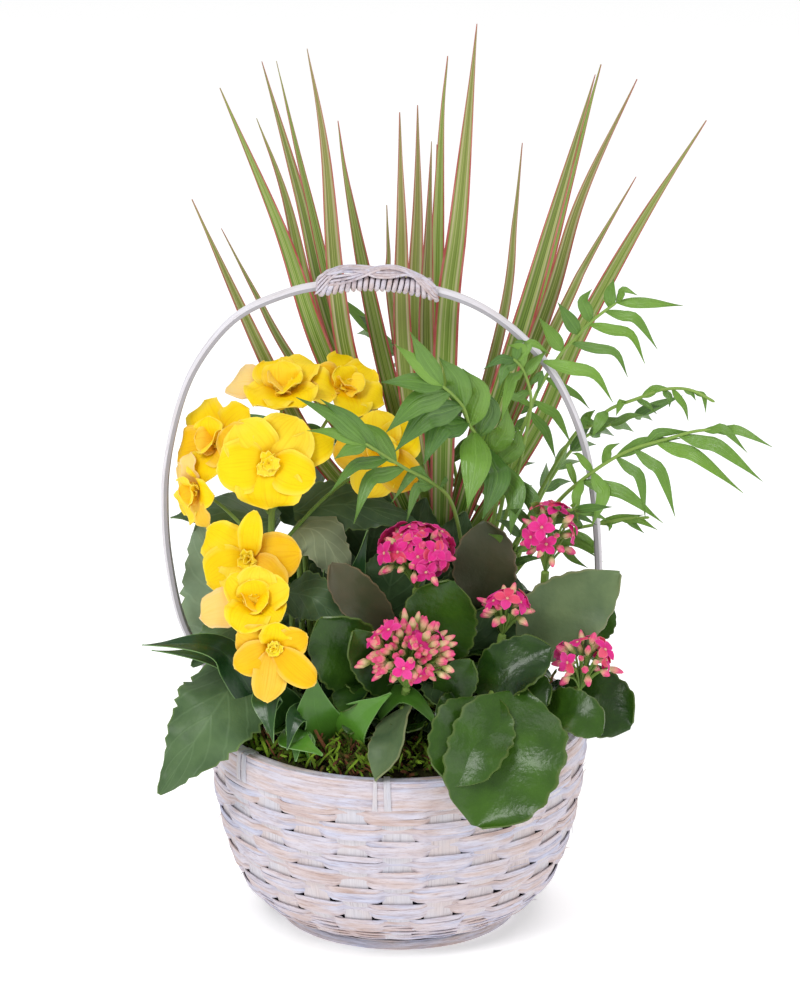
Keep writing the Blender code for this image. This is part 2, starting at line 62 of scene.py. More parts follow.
class Finish:
    """A node material for one surface: short calls add and join its nodes."""

    def __init__(self, name, rough, gloss):
        self.mat = bpy.data.materials.new(name)
        self.mat.use_nodes = True
        self.tree = self.mat.node_tree
        self.shader = self.tree.nodes["Principled BSDF"]
        self.feed(self.shader, {"Roughness": rough, "Specular IOR Level": gloss})

    def feed(self, node, inputs):
        """Gives a node's inputs, by name or number, their values or joins."""
        for key, value in inputs.items():
            if isinstance(value, bpy.types.NodeSocket):
                self.tree.links.new(value, node.inputs[key])
            else:
                node.inputs[key].default_value = value

    def add(self, kind, *inputs, **settings):
        node = self.tree.nodes.new(kind)
        for key, value in settings.items():
            setattr(node, key, value)
        self.feed(node, dict(enumerate(inputs)))
        return node

    def coords(self, which="Object"):
        return self.add("ShaderNodeTexCoord").outputs[which]

    def tone(self):
        """The shade that each copy in a bunch was given."""
        return self.add("ShaderNodeAttribute", attribute_name="tone").outputs["Fac"]

    def across_and_along(self):
        """The place on a sheet: across it, along it, and how far from its middle line."""
        u, v, _ = self.add("ShaderNodeSeparateXYZ", self.coords("UV")).outputs
        return u, v, self.math("ABSOLUTE", self.math("SUBTRACT", u, 0.5))

    def scaled(self, scale):
        node = self.add("ShaderNodeMapping")
        self.feed(node, {"Vector": self.coords(), "Scale": scale})
        return node.outputs[0]

    def noise(self, vector, scale, detail=3.0, rough=0.55, seed=None):
        node = self.add("ShaderNodeTexNoise", noise_dimensions="3D" if seed is None else "4D")
        self.feed(node, {"Vector": vector, "Scale": scale, "Detail": detail, "Roughness": rough})
        if seed is not None:
            self.feed(node, {"W": seed})
        return node.outputs["Fac"]

    def streaks(self, across, along_it, seed, detail, rough=0.55):
        """Noise drawn out along a sheet."""
        lanes = self.add("ShaderNodeCombineXYZ", across, along_it, seed).outputs[0]
        return self.noise(lanes, 1.0, detail, rough)

    def math(self, operation, *inputs):
        return self.add("ShaderNodeMath", *inputs, operation=operation).outputs[0]

    def plus(self, a, b):
        return self.math("ADD", a, b)

    def times(self, a, b):
        return self.math("MULTIPLY", a, b)

    def ramp(self, fac, *stops):
        node = self.add("ShaderNodeValToRGB", fac)
        band = node.color_ramp
        while len(band.elements) < len(stops):
            band.elements.new(0.5)
        for element, (at, colour) in zip(band.elements, stops):
            element.position = at
            element.color = opaque(colour)
        return node.outputs[0]

    def rises(self, fac, low, high, top=1.0):
        return self.ramp(fac, (low, (0.0, 0.0, 0.0)), (high, (top, top, top)))

    def falls(self, fac, low, high):
        return self.ramp(fac, (low, (1.0, 1.0, 1.0)), (high, (0.0, 0.0, 0.0)))

    def mix(self, fac, a, b, blend="MIX"):
        node = self.add("ShaderNodeMix", data_type="RGBA", blend_type=blend)
        self.feed(node, {0: fac, 6: opaque(a), 7: opaque(b)})
        return node.outputs[2]

    def paint(self, colour, height, strength, distance):
        """Joins the colour and the relief to the shader."""
        bump = self.add("ShaderNodeBump")
        self.feed(bump, {"Height": height, "Strength": strength, "Distance": distance})
        self.feed(self.shader, {"Base Color": colour, "Normal": bump.outputs[0]})
        return self.mat


def whitewash(name, grain, tan=0.5, painted_shade_colour=None, chalk=0.0):
    """Whitewashed splint: chalky streaks over pinkish wood, along the grain; a painted shade grey on pieces
    toned over 1.5.
    """
    f = Finish(name, 0.75, 0.25)
    tone = f.tone()
    streak = f.noise(f.scaled(grain), 1.0, 4.0, 0.6, f.times(tone, 9.0))
    broad = f.noise(f.scaled(tuple(g * 0.22 for g in grain)), 1.0, 2.0, 0.5,
                    f.math("MULTIPLY_ADD", tone, 5.0, 3.0))
    fine = f.noise(f.scaled(tuple(g * 3.1 for g in grain)), 1.0, 3.0, 0.7, tone)
    wash = f.ramp(streak, (0.27, (0.20, 0.14, 0.15)), (0.39, (0.46, 0.37, 0.38)),
                  (0.50, (0.58, 0.53, 0.59)), (0.70, (0.72, 0.71, 0.82)))
    bare = f.ramp(broad, (0.34, (0.46, 0.53, 0.74)), (0.48, (0.66, 0.62, 0.69)),
                  (0.59, (0.68, 0.52, 0.45)), (0.71, (0.52, 0.33, 0.24)))
    cracks = f.ramp(fine, (0.32, (0.35, 0.35, 0.35)), (0.46, (1.0, 1.0, 1.0)))
    colour = f.mix(cracks, (0.36, 0.27, 0.30), f.mix(tan, wash, bare))
    if chalk:
        colour = f.mix(chalk, colour, (0.86, 0.86, 0.89))
    # Painted shade: where the tone is over 1.5 (the hoop's inner face and edges), the colour turns to the
    # shade grey.
    if painted_shade_colour:
        colour = f.mix(f.times(f.math("GREATER_THAN", tone, 1.5), 0.8), colour, painted_shade_colour)
    return f.paint(colour, f.plus(streak, f.times(fine, 0.5)), 0.55, 0.0006)


def upright_finish():
    """Flat upright splints: pale grey wash with a fine upright hatch."""
    f = Finish("whitewash_upright", 0.8, 0.2)
    tone = f.tone()
    u, v, _ = f.across_and_along()
    lanes = f.streaks(f.times(u, 26.0), f.times(v, 5.0), f.times(tone, 30.0), 3.0, 0.6)
    broad = f.noise(f.coords(), 45.0, 3.0, 0.6)
    wash = f.ramp(lanes, (0.28, (0.46, 0.43, 0.46)), (0.42, (0.62, 0.60, 0.63)), (0.70, (0.70, 0.68, 0.71)))
    tint = f.ramp(f.plus(f.times(broad, 0.7), f.times(tone, 0.3)),
                  (0.35, (0.92, 0.94, 1.0)), (0.50, (1.0, 0.98, 0.99)), (0.66, (1.0, 0.90, 0.86)))
    return f.paint(f.mix(1.0, wash, tint, "MULTIPLY"), lanes, 0.5, 0.0005)


def blade_finish():
    """Tricolour sword leaf: green centre, cream stripes, thin red margins."""
    f = Finish("tricolour_blade", 0.42, 0.2)
    tone = f.tone()
    u, v, side = f.across_and_along()
    stripe = f.streaks(f.times(u, 13.0), f.times(v, 0.25), f.times(tone, 7.0), 2.5, 0.6)
    body = f.ramp(stripe, (0.34, (0.055, 0.15, 0.015)), (0.46, (0.14, 0.27, 0.030)),
                  (0.58, (0.28, 0.40, 0.09)), (0.72, (0.52, 0.54, 0.27)))
    lane = f.math("ABSOLUTE", f.math("SUBTRACT", side, f.math("MULTIPLY_ADD", tone, 0.10, 0.20)))
    cream = f.ramp(lane, (0.0, (1.0, 1.0, 1.0)), (0.035, (0.7, 0.7, 0.7)), (0.075, (0.0, 0.0, 0.0)))
    colour = f.mix(f.times(f.times(cream, 0.7), tone), body, (0.75, 0.66, 0.45))
    red = f.ramp(f.noise(f.coords(), 55.0, 2.0), (0.35, (0.38, 0.045, 0.05)), (0.65, (0.52, 0.16, 0.14)))
    colour = f.mix(f.rises(side, 0.375, 0.425), colour, red)
    colour = f.mix(f.times(f.rises(v, 0.2, 1.0, 0.55), tone), colour, (0.34, 0.16, 0.11))
    return f.paint(colour, stripe, 0.25, 0.0005)


def leaf_finish(name, dark, light, rough=0.4, veins=5.0, slant=0.0, glow=0.1, edge=None, mottle=0.5,
                bump=0.3, gloss=0.25, patch=60.0):
    """A leaf: two greens mottled together, slanted or lengthwise veins, a paler midrib and margin."""
    f = Finish(name, rough, gloss)
    tone = f.tone()
    u, v, side = f.across_and_along()
    cloud = f.noise(f.coords(), patch, 3.0, 0.55, tone)
    shade = f.plus(f.times(cloud, mottle), f.times(tone, 1.0 - mottle))
    colour = f.ramp(shade, (0.25, dark), (0.75, light))
    if slant:
        run = f.math("SUBTRACT", f.times(v, veins), f.times(side, slant))
        vein = f.rises(f.math("ABSOLUTE", f.math("SUBTRACT", f.math("FRACT", run), 0.5)), 0.40, 0.48)
    else:
        vein = f.streaks(f.times(u, veins), v, tone, 2.0)
    rib = f.falls(side, 0.0, 0.022)
    lines = f.math("MAXIMUM", f.times(vein, glow), f.times(rib, min(1.0, glow * 1.6)))
    colour = f.mix(lines, colour, tuple(min(1.0, c * 1.5 + 0.05) for c in light))
    if edge:
        rim = f.math("MAXIMUM", f.rises(side, 0.468, 0.492), f.rises(v, 0.985, 1.0))
        colour = f.mix(f.times(rim, 0.75), colour, edge)
    dimple = f.noise(f.coords(), 330.0, 2.0)
    relief = f.plus(f.times(cloud, 1.6), f.times(dimple, 0.35))
    return f.paint(colour, f.plus(f.times(vein, glow * 2.0), relief), bump, 0.0008)


def petal_finish(name, heart, body, rim, lines):
    """A petal: deeper at its heart, partly its own colour and partly painted shade at the flower's middle; a
    paler rim, fine veins running outwards.
    """
    f = Finish(name, 0.5, 0.15)
    tone = f.tone()
    u, v, side = f.across_and_along()
    vein = f.streaks(f.times(u, 26.0), f.times(v, 1.6), f.times(tone, 8.0), 3.0)
    # The heart colour at the petal's foot is partly painted shade in the flower's cup.
    colour = f.ramp(v, (0.0, heart), (0.45, body), (0.86, body), (1.0, rim))
    colour = f.mix(f.times(f.rises(side, 0.36, 0.5), 0.5), colour, rim)
    cloud = f.plus(f.times(f.noise(f.coords(), 45.0), 0.5), f.times(tone, 0.5))
    colour = f.mix(f.times(f.rises(cloud, 0.52, 0.80), 0.3), colour, rim)
    colour = f.mix(f.times(f.falls(vein, 0.30, 0.5), lines), colour, heart)
    f.feed(f.shader, {"Subsurface Weight": 0.10, "Subsurface Radius": (0.9, 0.5, 0.1),
                      "Subsurface Scale": 0.003})
    return f.paint(colour, vein, 0.35, 0.0005)


def bud_finish():
    """A tubular bud: green foot, cream middle, pink tip."""
    f = Finish("kalanchoe_bud", 0.45, 0.4)
    _, v, _ = f.across_and_along()
    at = f.plus(v, f.times(f.math("SUBTRACT", f.tone(), 0.5), 0.5))
    colour = f.ramp(at, (0.12, (0.30, 0.38, 0.10)), (0.40, (0.66, 0.54, 0.28)),
                    (0.62, (0.80, 0.36, 0.28)), (0.86, (0.76, 0.08, 0.22)))
    return f.paint(colour, f.noise(f.coords(), 900.0), 0.2, 0.0003)


def ground_finish(name, stops, scale, strength, rough=0.95):
    """Moss, soil, bark and other lumpy matter, and painted gap shade: noise and tone together pick the
    colour.
    """
    f = Finish(name, rough, 0.15)
    lump = f.noise(f.coords(), scale, 5.0, 0.7)
    colour = f.ramp(f.plus(f.times(lump, 0.55), f.times(f.tone(), 0.45)), *stops)
    return f.paint(colour, lump, strength, 0.002)


SPLINT_ROUND = whitewash("whitewash_weaver", (60, 60, 620))
STAKE_FINISH = upright_finish()
# The hoop's finish carries a painted shade grey for its inner face and edges.
SPLINT_HANDLE = whitewash("whitewash_hoop_painted_shade", (30, 500, 30), 0.12, (0.30, 0.29, 0.31), 0.55)
CANE = whitewash("whitewash_cane", (130, 330, 130), 0.35)
BLADE = blade_finish()
PALM = leaf_finish("palm_leaflet", (0.022, 0.095, 0.010), (0.16, 0.32, 0.030), 0.29, veins=15.0, glow=0.36,
                   mottle=0.35, bump=1.0, gloss=0.50)
BEGONIA_LEAF = leaf_finish("begonia_leaf_green", (0.026, 0.064, 0.024), (0.108, 0.185, 0.072), 0.42,
                           slant=4.2, glow=0.13, edge=(0.14, 0.22, 0.06), mottle=0.75, bump=0.6, patch=55.0)
BEGONIA_UNDER = leaf_finish("begonia_leaf_under", (0.16, 0.20, 0.11), (0.36, 0.42, 0.26), 0.6,
                            slant=4.2, glow=0.16, edge=(0.42, 0.44, 0.28), mottle=0.6, bump=0.5, gloss=0.15)
BEGONIA_PALE = leaf_finish("begonia_leaf_pale", (0.13, 0.21, 0.12), (0.30, 0.40, 0.24), 0.5,
                           slant=4.2, glow=0.12, edge=(0.20, 0.28, 0.13), mottle=0.7, bump=0.5, gloss=0.2)
KALANCHOE_LEAF = leaf_finish("kalanchoe_leaf_green", (0.004, 0.020, 0.004), (0.047, 0.120, 0.010), 0.27,
                             slant=5.0, glow=0.0, edge=(0.09, 0.14, 0.03), mottle=0.7, bump=0.9,
                             gloss=0.32, patch=52.0)
KALANCHOE_GREY = leaf_finish("kalanchoe_leaf_grey", (0.040, 0.080, 0.038), (0.17, 0.24, 0.105), 0.42,
                             slant=5.0, glow=0.0, edge=(0.20, 0.22, 0.10), mottle=0.7, bump=0.7,
                             gloss=0.2, patch=48.0)
KALANCHOE_BROWN = leaf_finish("kalanchoe_leaf_bronze", (0.048, 0.072, 0.030), (0.135, 0.100, 0.060), 0.40,
                              slant=5.0, glow=0.0, edge=(0.20, 0.15, 0.08), mottle=0.9, bump=0.7,
                              gloss=0.30, patch=26.0)
COMPACT_LEAF = leaf_finish("compact_leaf_dark", (0.004, 0.028, 0.008), (0.085, 0.24, 0.020), 0.28,
                           veins=16.0, edge=(0.20, 0.36, 0.12), mottle=0.3, bump=0.4, gloss=0.42)
STALK = leaf_finish("green_stalk", (0.10, 0.20, 0.03), (0.28, 0.42, 0.09), 0.45, veins=6.0)
# Each petal's heart colour is partly painted shade at the flower's middle.
YELLOW, HEART_YELLOW, AMBER, PEACH, PINK, ROSE = (
    petal_finish(name, heart, body, rim, lines) for name, heart, body, rim, lines in (
        ("begonia_petal_yellow", (0.88, 0.44, 0.0), (0.96, 0.66, 0.003), (0.98, 0.79, 0.13), 0.42),
        ("begonia_heart", (0.93, 0.60, 0.0), (0.97, 0.73, 0.02), (0.98, 0.80, 0.15), 0.2),
        ("begonia_petal_amber", (0.78, 0.32, 0.0), (0.90, 0.52, 0.006), (0.94, 0.68, 0.18), 0.42),
        ("begonia_petal_peach", (0.92, 0.52, 0.03), (0.94, 0.64, 0.18), (0.93, 0.68, 0.42), 0.3),
        ("kalanchoe_petal_pink", (0.55, 0.01, 0.10), (0.76, 0.025, 0.25), (0.86, 0.14, 0.42), 0.3),
        ("kalanchoe_petal_rose", (0.60, 0.02, 0.07), (0.80, 0.07, 0.16), (0.88, 0.26, 0.32), 0.3)))
BUD = bud_finish()
MOSS = ground_finish("moss_curl", [(0.28, (0.022, 0.010, 0.006)), (0.42, (0.22, 0.085, 0.040)),
                                   (0.50, (0.045, 0.070, 0.010)), (0.80, (0.30, 0.50, 0.04))], 160.0, 0.5)
MOSS_BED = ground_finish("moss_bed_dark", [(0.25, (0.010, 0.008, 0.005)), (0.5, (0.035, 0.028, 0.012)),
                                           (0.7, (0.05, 0.06, 0.012))], 220.0, 1.0)
SOIL = ground_finish("damp_soil", [(0.2, (0.008, 0.005, 0.003)), (0.7, (0.05, 0.03, 0.018))], 260.0, 1.0)
# Painted shade: a near-black for the gaps in the weave, seen on the bowl, and between the grip's coils.
GAP_SHADE = ground_finish("shadowed_gap", [(0.2, (0.012, 0.010, 0.022)), (0.7, (0.060, 0.032, 0.028))],
                     240.0, 0.4, 0.9)
LINER = ground_finish("liner_film", [(0.2, (0.008, 0.008, 0.008)), (0.7, (0.03, 0.03, 0.03))],
                      90.0, 0.2, 0.45)
BARK = ground_finish("dracaena_bark", [(0.25, (0.09, 0.06, 0.03)), (0.55, (0.22, 0.17, 0.09)),
                                       (0.75, (0.30, 0.27, 0.14))], 150.0, 0.8)

# ------------------------------------------------------- patterns and bunches


def drop_selection():
    bpy.ops.object.select_all(action="DESELECT")


class Pattern:
    """One modelled sheet, read once, whose copies are shaped into many pieces.

    u and v run from 0 to 1 across and along it, side from -1 to 1 across it, and turn once round.
    """

    def __init__(self, obj):
        mesh = obj.data
        spots = np.empty(len(mesh.vertices) * 3)
        mesh.vertices.foreach_get("co", spots)
        self.u, self.v = spots[0::3] + 0.5, spots[1::3] + 0.5
        self.side = 2 * self.u - 1
        self.turn = FULL_TURN * self.u
        self.loops = np.empty(len(mesh.loops), int)
        mesh.loops.foreach_get("vertex_index", self.loops)
        self.sizes = np.array([face.loop_total for face in mesh.polygons])
        flat = np.empty(len(mesh.loops) * 2)
        mesh.uv_layers[0].data.foreach_get("uv", flat)
        self.uv = flat.reshape(-1, 2)
        bpy.data.objects.remove(obj, do_unlink=True)
        bpy.data.meshes.remove(mesh)


def sheet(across, along_it):
    drop_selection()
    bpy.ops.mesh.primitive_grid_add(x_subdivisions=across, y_subdivisions=along_it, size=1, calc_uvs=True)
    return Pattern(bpy.context.object)


SHARP = math.radians(50)
CLOSE = 0.00001


class Bunch:
    """Gathers shaped copies of patterns into one piece."""

    def __init__(self):
        self.points, self.loops, self.sizes, self.maps, self.tones, self.finishes = [], [], [], [], [], []
        self.count = 0

    def add(self, pattern, points, tone=0.5, finish=0):
        self.points.append(points)
        self.loops.append(pattern.loops + self.count)
        self.sizes.append(pattern.sizes)
        self.maps.append(pattern.uv)
        self.tones.append(np.broadcast_to(np.asarray(tone, float), (len(points),)))
        self.finishes.append(np.full(len(pattern.sizes), finish))
        self.count += len(points)

    def leaf(self, pattern, *shape, tone=0.5, finish=0, **more):
        self.add(pattern, leaf(pattern, *shape, **more), tone, finish)

    def tube(self, pattern, *shape, tone=0.5, finish=0, **more):
        self.add(pattern, tube(pattern, *shape, **more), tone, finish)

    def mesh(self, name):
        mesh = bpy.data.meshes.new(name)
        spots = np.vstack(self.points) * MM
        loops, sizes = np.concatenate(self.loops), np.concatenate(self.sizes)
        mesh.vertices.add(len(spots))
        mesh.vertices.foreach_set("co", spots.ravel())
        mesh.loops.add(len(loops))
        mesh.loops.foreach_set("vertex_index", loops)
        mesh.polygons.add(len(sizes))
        mesh.polygons.foreach_set("loop_start", np.r_[0, np.cumsum(sizes)[:-1]])
        mesh.polygons.foreach_set("material_index", np.concatenate(self.finishes))
        mesh.update(calc_edges=True)
        mesh.uv_layers.new(name="UVMap").data.foreach_set("uv", np.vstack(self.maps).ravel())
        mesh.attributes.new("tone", "FLOAT", "POINT").data.foreach_set("value", np.concatenate(self.tones))
        return mesh

    def made(self, name, finishes, slot, thickness=0.0, bevel=0.0, merge=False, stands_for=()):
        """Turns the bunch into one finished piece of the basket."""
        piece = bpy.data.objects.new(name, self.mesh(name))
        bpy.context.scene.collection.objects.link(piece)
        for finish in finishes:
            piece.data.materials.append(finish)
        drop_selection()
        piece.select_set(True)
        bpy.context.view_layer.objects.active = piece
        if merge:
            bpy.ops.object.mode_set(mode="EDIT")
            bpy.ops.mesh.select_all(action="SELECT")
            bpy.ops.mesh.remove_doubles(threshold=CLOSE)
            bpy.ops.object.mode_set(mode="OBJECT")
        if thickness:
            mod = piece.modifiers.new("thickness", "SOLIDIFY")
            mod.thickness, mod.offset, mod.use_even_offset = thickness * MM, 0.0, False
            bpy.ops.object.modifier_apply(modifier=mod.name)
        if bevel:
            mod = piece.modifiers.new("edge", "BEVEL")
            mod.width, mod.segments, mod.limit_method = bevel * MM, 2, "ANGLE"
            mod.angle_limit = SHARP
            bpy.ops.object.modifier_apply(modifier=mod.name)
        bpy.ops.object.shade_smooth_by_angle(angle=SHARP)
        drop_selection()
        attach(piece, "root")
        if stands_for:
            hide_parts(*stands_for)

# ------------------------------------------------------------ curves and shapes


def unit(a):
    return a / np.maximum(np.linalg.norm(a, axis=-1, keepdims=True), 1e-9)


def run_along(points):
    """The distance run at each point of a line."""
    return np.r_[0, np.cumsum(np.linalg.norm(np.diff(points, axis=0), axis=1))]


def ring(radius, angle, height):
    """Places round the basket's axis."""
    return np.stack([radius * np.cos(angle), radius * np.sin(angle), height + 0 * angle], -1)


def end_fade(v, share):
    """0 at both ends of a strip, 1 from a share of its length inwards."""
    return np.clip(np.minimum(v, 1 - v) / share, 0, 1)


def curve_points(points):
    """A smooth curve through a few points, ten steps to each stretch."""
    pts = np.array(points, float)
    if len(pts) == 2:
        pts = np.vstack([pts[0], pts.mean(0), pts[1]])
    ext = np.vstack([2 * pts[0] - pts[1], pts, 2 * pts[-1] - pts[-2]])
    t = np.linspace(0, 1, 11)[1:, None]
    dense = [pts[:1]]
    for i in range(1, len(ext) - 2):
        a, b, c, d = ext[i - 1:i + 3]
        dense.append(0.5 * (2 * b + (c - a) * t + (2 * a - 5 * b + 4 * c - d) * t ** 2
                            + (3 * b - a - 3 * c + d) * t ** 3))
    return np.vstack(dense)


def along(points, v):
    """Places and directions at the fractions v of a smooth curve's length."""
    dense = curve_points(points)
    run = run_along(dense)
    want = np.asarray(v) * run[-1]

    def spot(d):
        return np.stack([np.interp(d, run, dense[:, k]) for k in range(3)], -1)
    step = run[-1] * 0.02
    return spot(want), unit(spot(want + step) - spot(want - step))


def profile(*heights):
    """A smooth width curve through evenly spaced values."""
    dense = np.interp(np.linspace(0, 1, 241), np.linspace(0, 1, len(heights)), heights)
    reach = int(110 / len(heights))
    window = np.hanning(2 * reach + 1)
    padded = np.r_[2 * dense[0] - dense[reach:0:-1], dense, 2 * dense[-1] - dense[-2:-reach - 2:-1]]
    return np.maximum(np.convolve(padded, window / window.sum(), "valid"), 0.01)


SWORD = profile(0.60, 0.82, 0.95, 1.0, 1.0, 0.95, 0.84, 0.68, 0.46, 0.22, 0.02)
LANCE = profile(0.25, 0.62, 0.88, 1.0, 0.98, 0.88, 0.70, 0.45, 0.18, 0.02)
OVATE = profile(0.10, 0.55, 0.86, 1.0, 1.0, 0.93, 0.82, 0.66, 0.42, 0.05)
ROUND = profile(0.12, 0.50, 0.78, 0.94, 1.0, 1.0, 0.96, 0.85, 0.64, 0.10)
LEAFLET = profile(0.16, 0.66, 0.94, 1.0, 0.95, 0.82, 0.62, 0.38, 0.16, 0.02)
HEART = profile(0.55, 0.90, 1.0, 0.98, 0.90, 0.78, 0.62, 0.44, 0.24, 0.03)
FLORET = profile(0.22, 0.62, 0.92, 1.0, 0.92, 0.66, 0.06)


def leaf(pattern, spine, width, outline, face=(0, -1, 0), fold=0.0, cup=0.0, wave=0.0, waves=3.0, teeth=0.0,
         tooth_count=12, turn=0.0, phase=0.0, ease=False):
    """Shapes a sheet into a leaf or petal along a spine: width curve, fold, cup, edge wave and teeth."""
    v = (0.5 - 0.5 * np.cos(math.pi * pattern.v)) if ease else pattern.v
    spot, ahead = along(spine, v)
    across = unit(np.cross(ahead, np.array(face, float)))
    up = np.cross(across, ahead)
    if turn:
        spin = (turn * v)[:, None]
        across, up = across * np.cos(spin) + up * np.sin(spin), up * np.cos(spin) - across * np.sin(spin)
    half = width / 2 * np.interp(v, np.linspace(0, 1, len(outline)), outline)
    s = pattern.side
    edge = np.abs(s)
    if teeth:
        half = half * (1 + teeth * edge ** 4 * (np.abs(np.sin(math.pi * tooth_count * v + 0.4 * s)) - 0.6))
    lift = half * (fold * edge + cup * s * s)
    if wave:
        ripple = np.sin(FULL_TURN * waves * v + phase + 1.3 * np.sign(s))
        lift = lift + wave * width / 2 * edge ** 2 * ripple
    return spot + across * (s * half)[:, None] + up * lift[:, None]


def tube(pattern, spine, radius, squash=1.0, face=(0, -1, 0.3), taper=1.0, ends=0.03):
    """Wraps a sheet round a curve as a closed rod, with drawn-in ends."""
    v = pattern.v
    spot, ahead = along(spine, v)
    across = unit(np.cross(ahead, np.array(face, float)))
    up = np.cross(across, ahead)
    size = radius * (1 + (taper - 1) * v) * end_fade(v, ends) ** 0.5
    flat, deep = np.cos(pattern.turn) * size, np.sin(pattern.turn) * size * squash
    return spot + across * flat[:, None] - up * deep[:, None]


thread, bead, rod, long_rod = sheet(3, 6), sheet(6, 14), sheet(8, 40), sheet(8, 420)

# ---------------------------------------------------------------- the basket

WALL_LINE = np.array([(84, 13), (88, 17.6), (92, 23), (95.2, 28.8), (98, 35), (100.4, 41.4), (102.5, 48),
                      (104.4, 55), (106, 62), (107.6, 70), (109, 78), (110.1, 85), (111, 92), (111.7, 99),
                      (112, 106), (112.2, 115), (112.3, 124)], float)
WALL_RADIUS, WALL_HEIGHT = WALL_LINE[:, 0], WALL_LINE[:, 1]
WALL_RUN = run_along(WALL_LINE)
STAKES = 25
STAKE_SHARE = 0.70  # of the wall between one stake and the next
STRANDS, STRAND_STEP, STRAND_TALL = 3, 3.65, 3.9
BASE_STRANDS, BASE_STEP = 11, 1.75
ROW_HEIGHTS = (14.5, 26, 37, 48.5, 59.5, 70, 81, 92, 103, 114)
LAPPED_TURN = FULL_TURN * 1.012
FRAYS = 64
RIM_LOW, RIM_HIGH = (corner.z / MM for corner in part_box("rim_band"))


def run_at(height):
    return np.interp(height, WALL_HEIGHT, WALL_RUN)


ROW_RUN = run_at(ROW_HEIGHTS)
UNDER_RIM = run_at(RIM_LOW - 0.5)


def on_wall(run, angle, out):
    """A place on the bowl's outside: distance up the wall, angle round it, distance off it."""
    r, z = np.interp(run, WALL_RUN, WALL_RADIUS), np.interp(run, WALL_RUN, WALL_HEIGHT)
    dr = np.interp(run + 3, WALL_RUN, WALL_RADIUS) - np.interp(run - 3, WALL_RUN, WALL_RADIUS)
    dz = np.interp(run + 3, WALL_RUN, WALL_HEIGHT) - np.interp(run - 3, WALL_RUN, WALL_HEIGHT)
    size = np.maximum(np.hypot(dr, dz), 1e-6)
    return ring(r + out * dz / size, angle, z - out * dr / size)


# Three strands side by side climb one row each turn, over a stake and under the next. An odd
# number of stakes makes each row answer the one below it.
splint = sheet(3, 310)
weavers = Bunch()
s = splint.side
for row in range(1, len(ROW_HEIGHTS)):
    for strand in range(STRANDS):
        angle = 0.4 + 0.75 * strand + splint.v * FULL_TURN * 1.02
        round_at = angle - FRONT
        middle = np.interp(row + round_at / FULL_TURN - 1, np.arange(len(ROW_HEIGHTS)), ROW_RUN)
        tall = STRAND_TALL + rng.uniform(-0.3, 0.3)
        wander = 0.35 * np.sin(5 * angle + rng.uniform(0, 6)) + 0.22 * np.sin(13 * angle + rng.uniform(0, 6))
        wave = np.cos(STAKES / 2 * (round_at + FULL_TURN * (row - 1)))
        over = np.tanh(5.5 * (wave + 0.34))
        full = 0.5 + 0.5 * wave
        gather = 0.92 + 0.07 * full ** 0.6
        offset = ((strand - 1) * STRAND_STEP + wander + rng.uniform(-0.15, 0.15)) * gather
        tuck = 1.6 * (1 - end_fade(splint.v, 0.02))
        ripple = 0.12 * np.sin(9 * angle + rng.uniform(0, 6))
        out = 0.75 + 1.15 * over + 0.45 * full + 0.3 * (1 - s * s) + 0.3 * (strand == 1) - tuck + ripple
        run = middle + offset + s * tall * gather / 2
        hidden = np.clip((run - UNDER_RIM) / 2.5, 0, 1)
        out = out * (1 - hidden) + np.minimum(out, 0.1) * hidden
        tone = np.clip(rng.uniform(0.25, 0.75) + 0.25 * np.sin(2.2 * angle + rng.uniform(0, 6)), 0, 1)
        weavers.add(splint, on_wall(run, angle, out), tone)
for row in range(BASE_STRANDS):
    angle = rng.uniform(0.3, 2.6) + splint.v * LAPPED_TURN
    run = ROW_RUN[0] - 6.0 + BASE_STEP * row + 0.3 * np.sin(4 * angle + row) + 0.8 * s
    out = 0.95 + 0.55 * np.cos(STAKES / 2 * angle + math.pi * row) + 0.2 * (1 - s * s)
    tone = np.clip(rng.uniform(0.2, 0.7) + 0.2 * np.sin(3 * angle), 0, 1)
    weavers.add(splint, on_wall(run, angle, out), tone)
weavers.made("woven_splints", [SPLINT_ROUND], "whitewashed_splint", 0.75)

upright = sheet(6, 90)
stakes = Bunch()
s = upright.side
low, high = -5.0, run_at(121.5)
run = low + (high - low) * upright.v
radius = np.interp(run, WALL_RUN, WALL_RADIUS)
for k in range(STAKES):
    row_here = np.interp(run, ROW_RUN, np.arange(len(ROW_HEIGHTS))) - k / STAKES
    bulge = -np.cos(math.pi * (k + row_here - 1))
    wide = FULL_TURN * radius / STAKES * STAKE_SHARE * (1 + 0.03 * math.sin(7 * k))
    angle = FRONT + FULL_TURN * k / STAKES + s * wide / 2 / radius + 0.004 * np.sin(run / 9 + k)
    stakes.add(upright, on_wall(run, angle, 0.60 + 0.60 * bulge + 0.15 * (1 - s * s)), rng.uniform(0.2, 0.85))
stakes.made("upright_stakes", [STAKE_FINISH], "whitewashed_splint", 0.6)

sliver = sheet(1, 8)
frays = Bunch()
v = sliver.v
for n in range(FRAYS):
    angle = rng.uniform(0, FULL_TURN)
    run = rng.uniform(2, 88)
    reach = rng.uniform(4, 13)
    lift = rng.uniform(0.6, 3.6)
    tilt = rng.gauss(0, 0.25)
    way = rng.choice((-1, 1))
    width = rng.uniform(0.35, 0.8) * (1 - 0.8 * v) * (sliver.u - 0.5)
    spots = on_wall(run + tilt * reach * v + width, angle + way * reach * v / 110, 2.2 + lift * v ** 2)
    frays.add(sliver, spots, rng.random())
frays.made("frayed_slivers", [SPLINT_ROUND], "whitewashed_splint", 0.25)


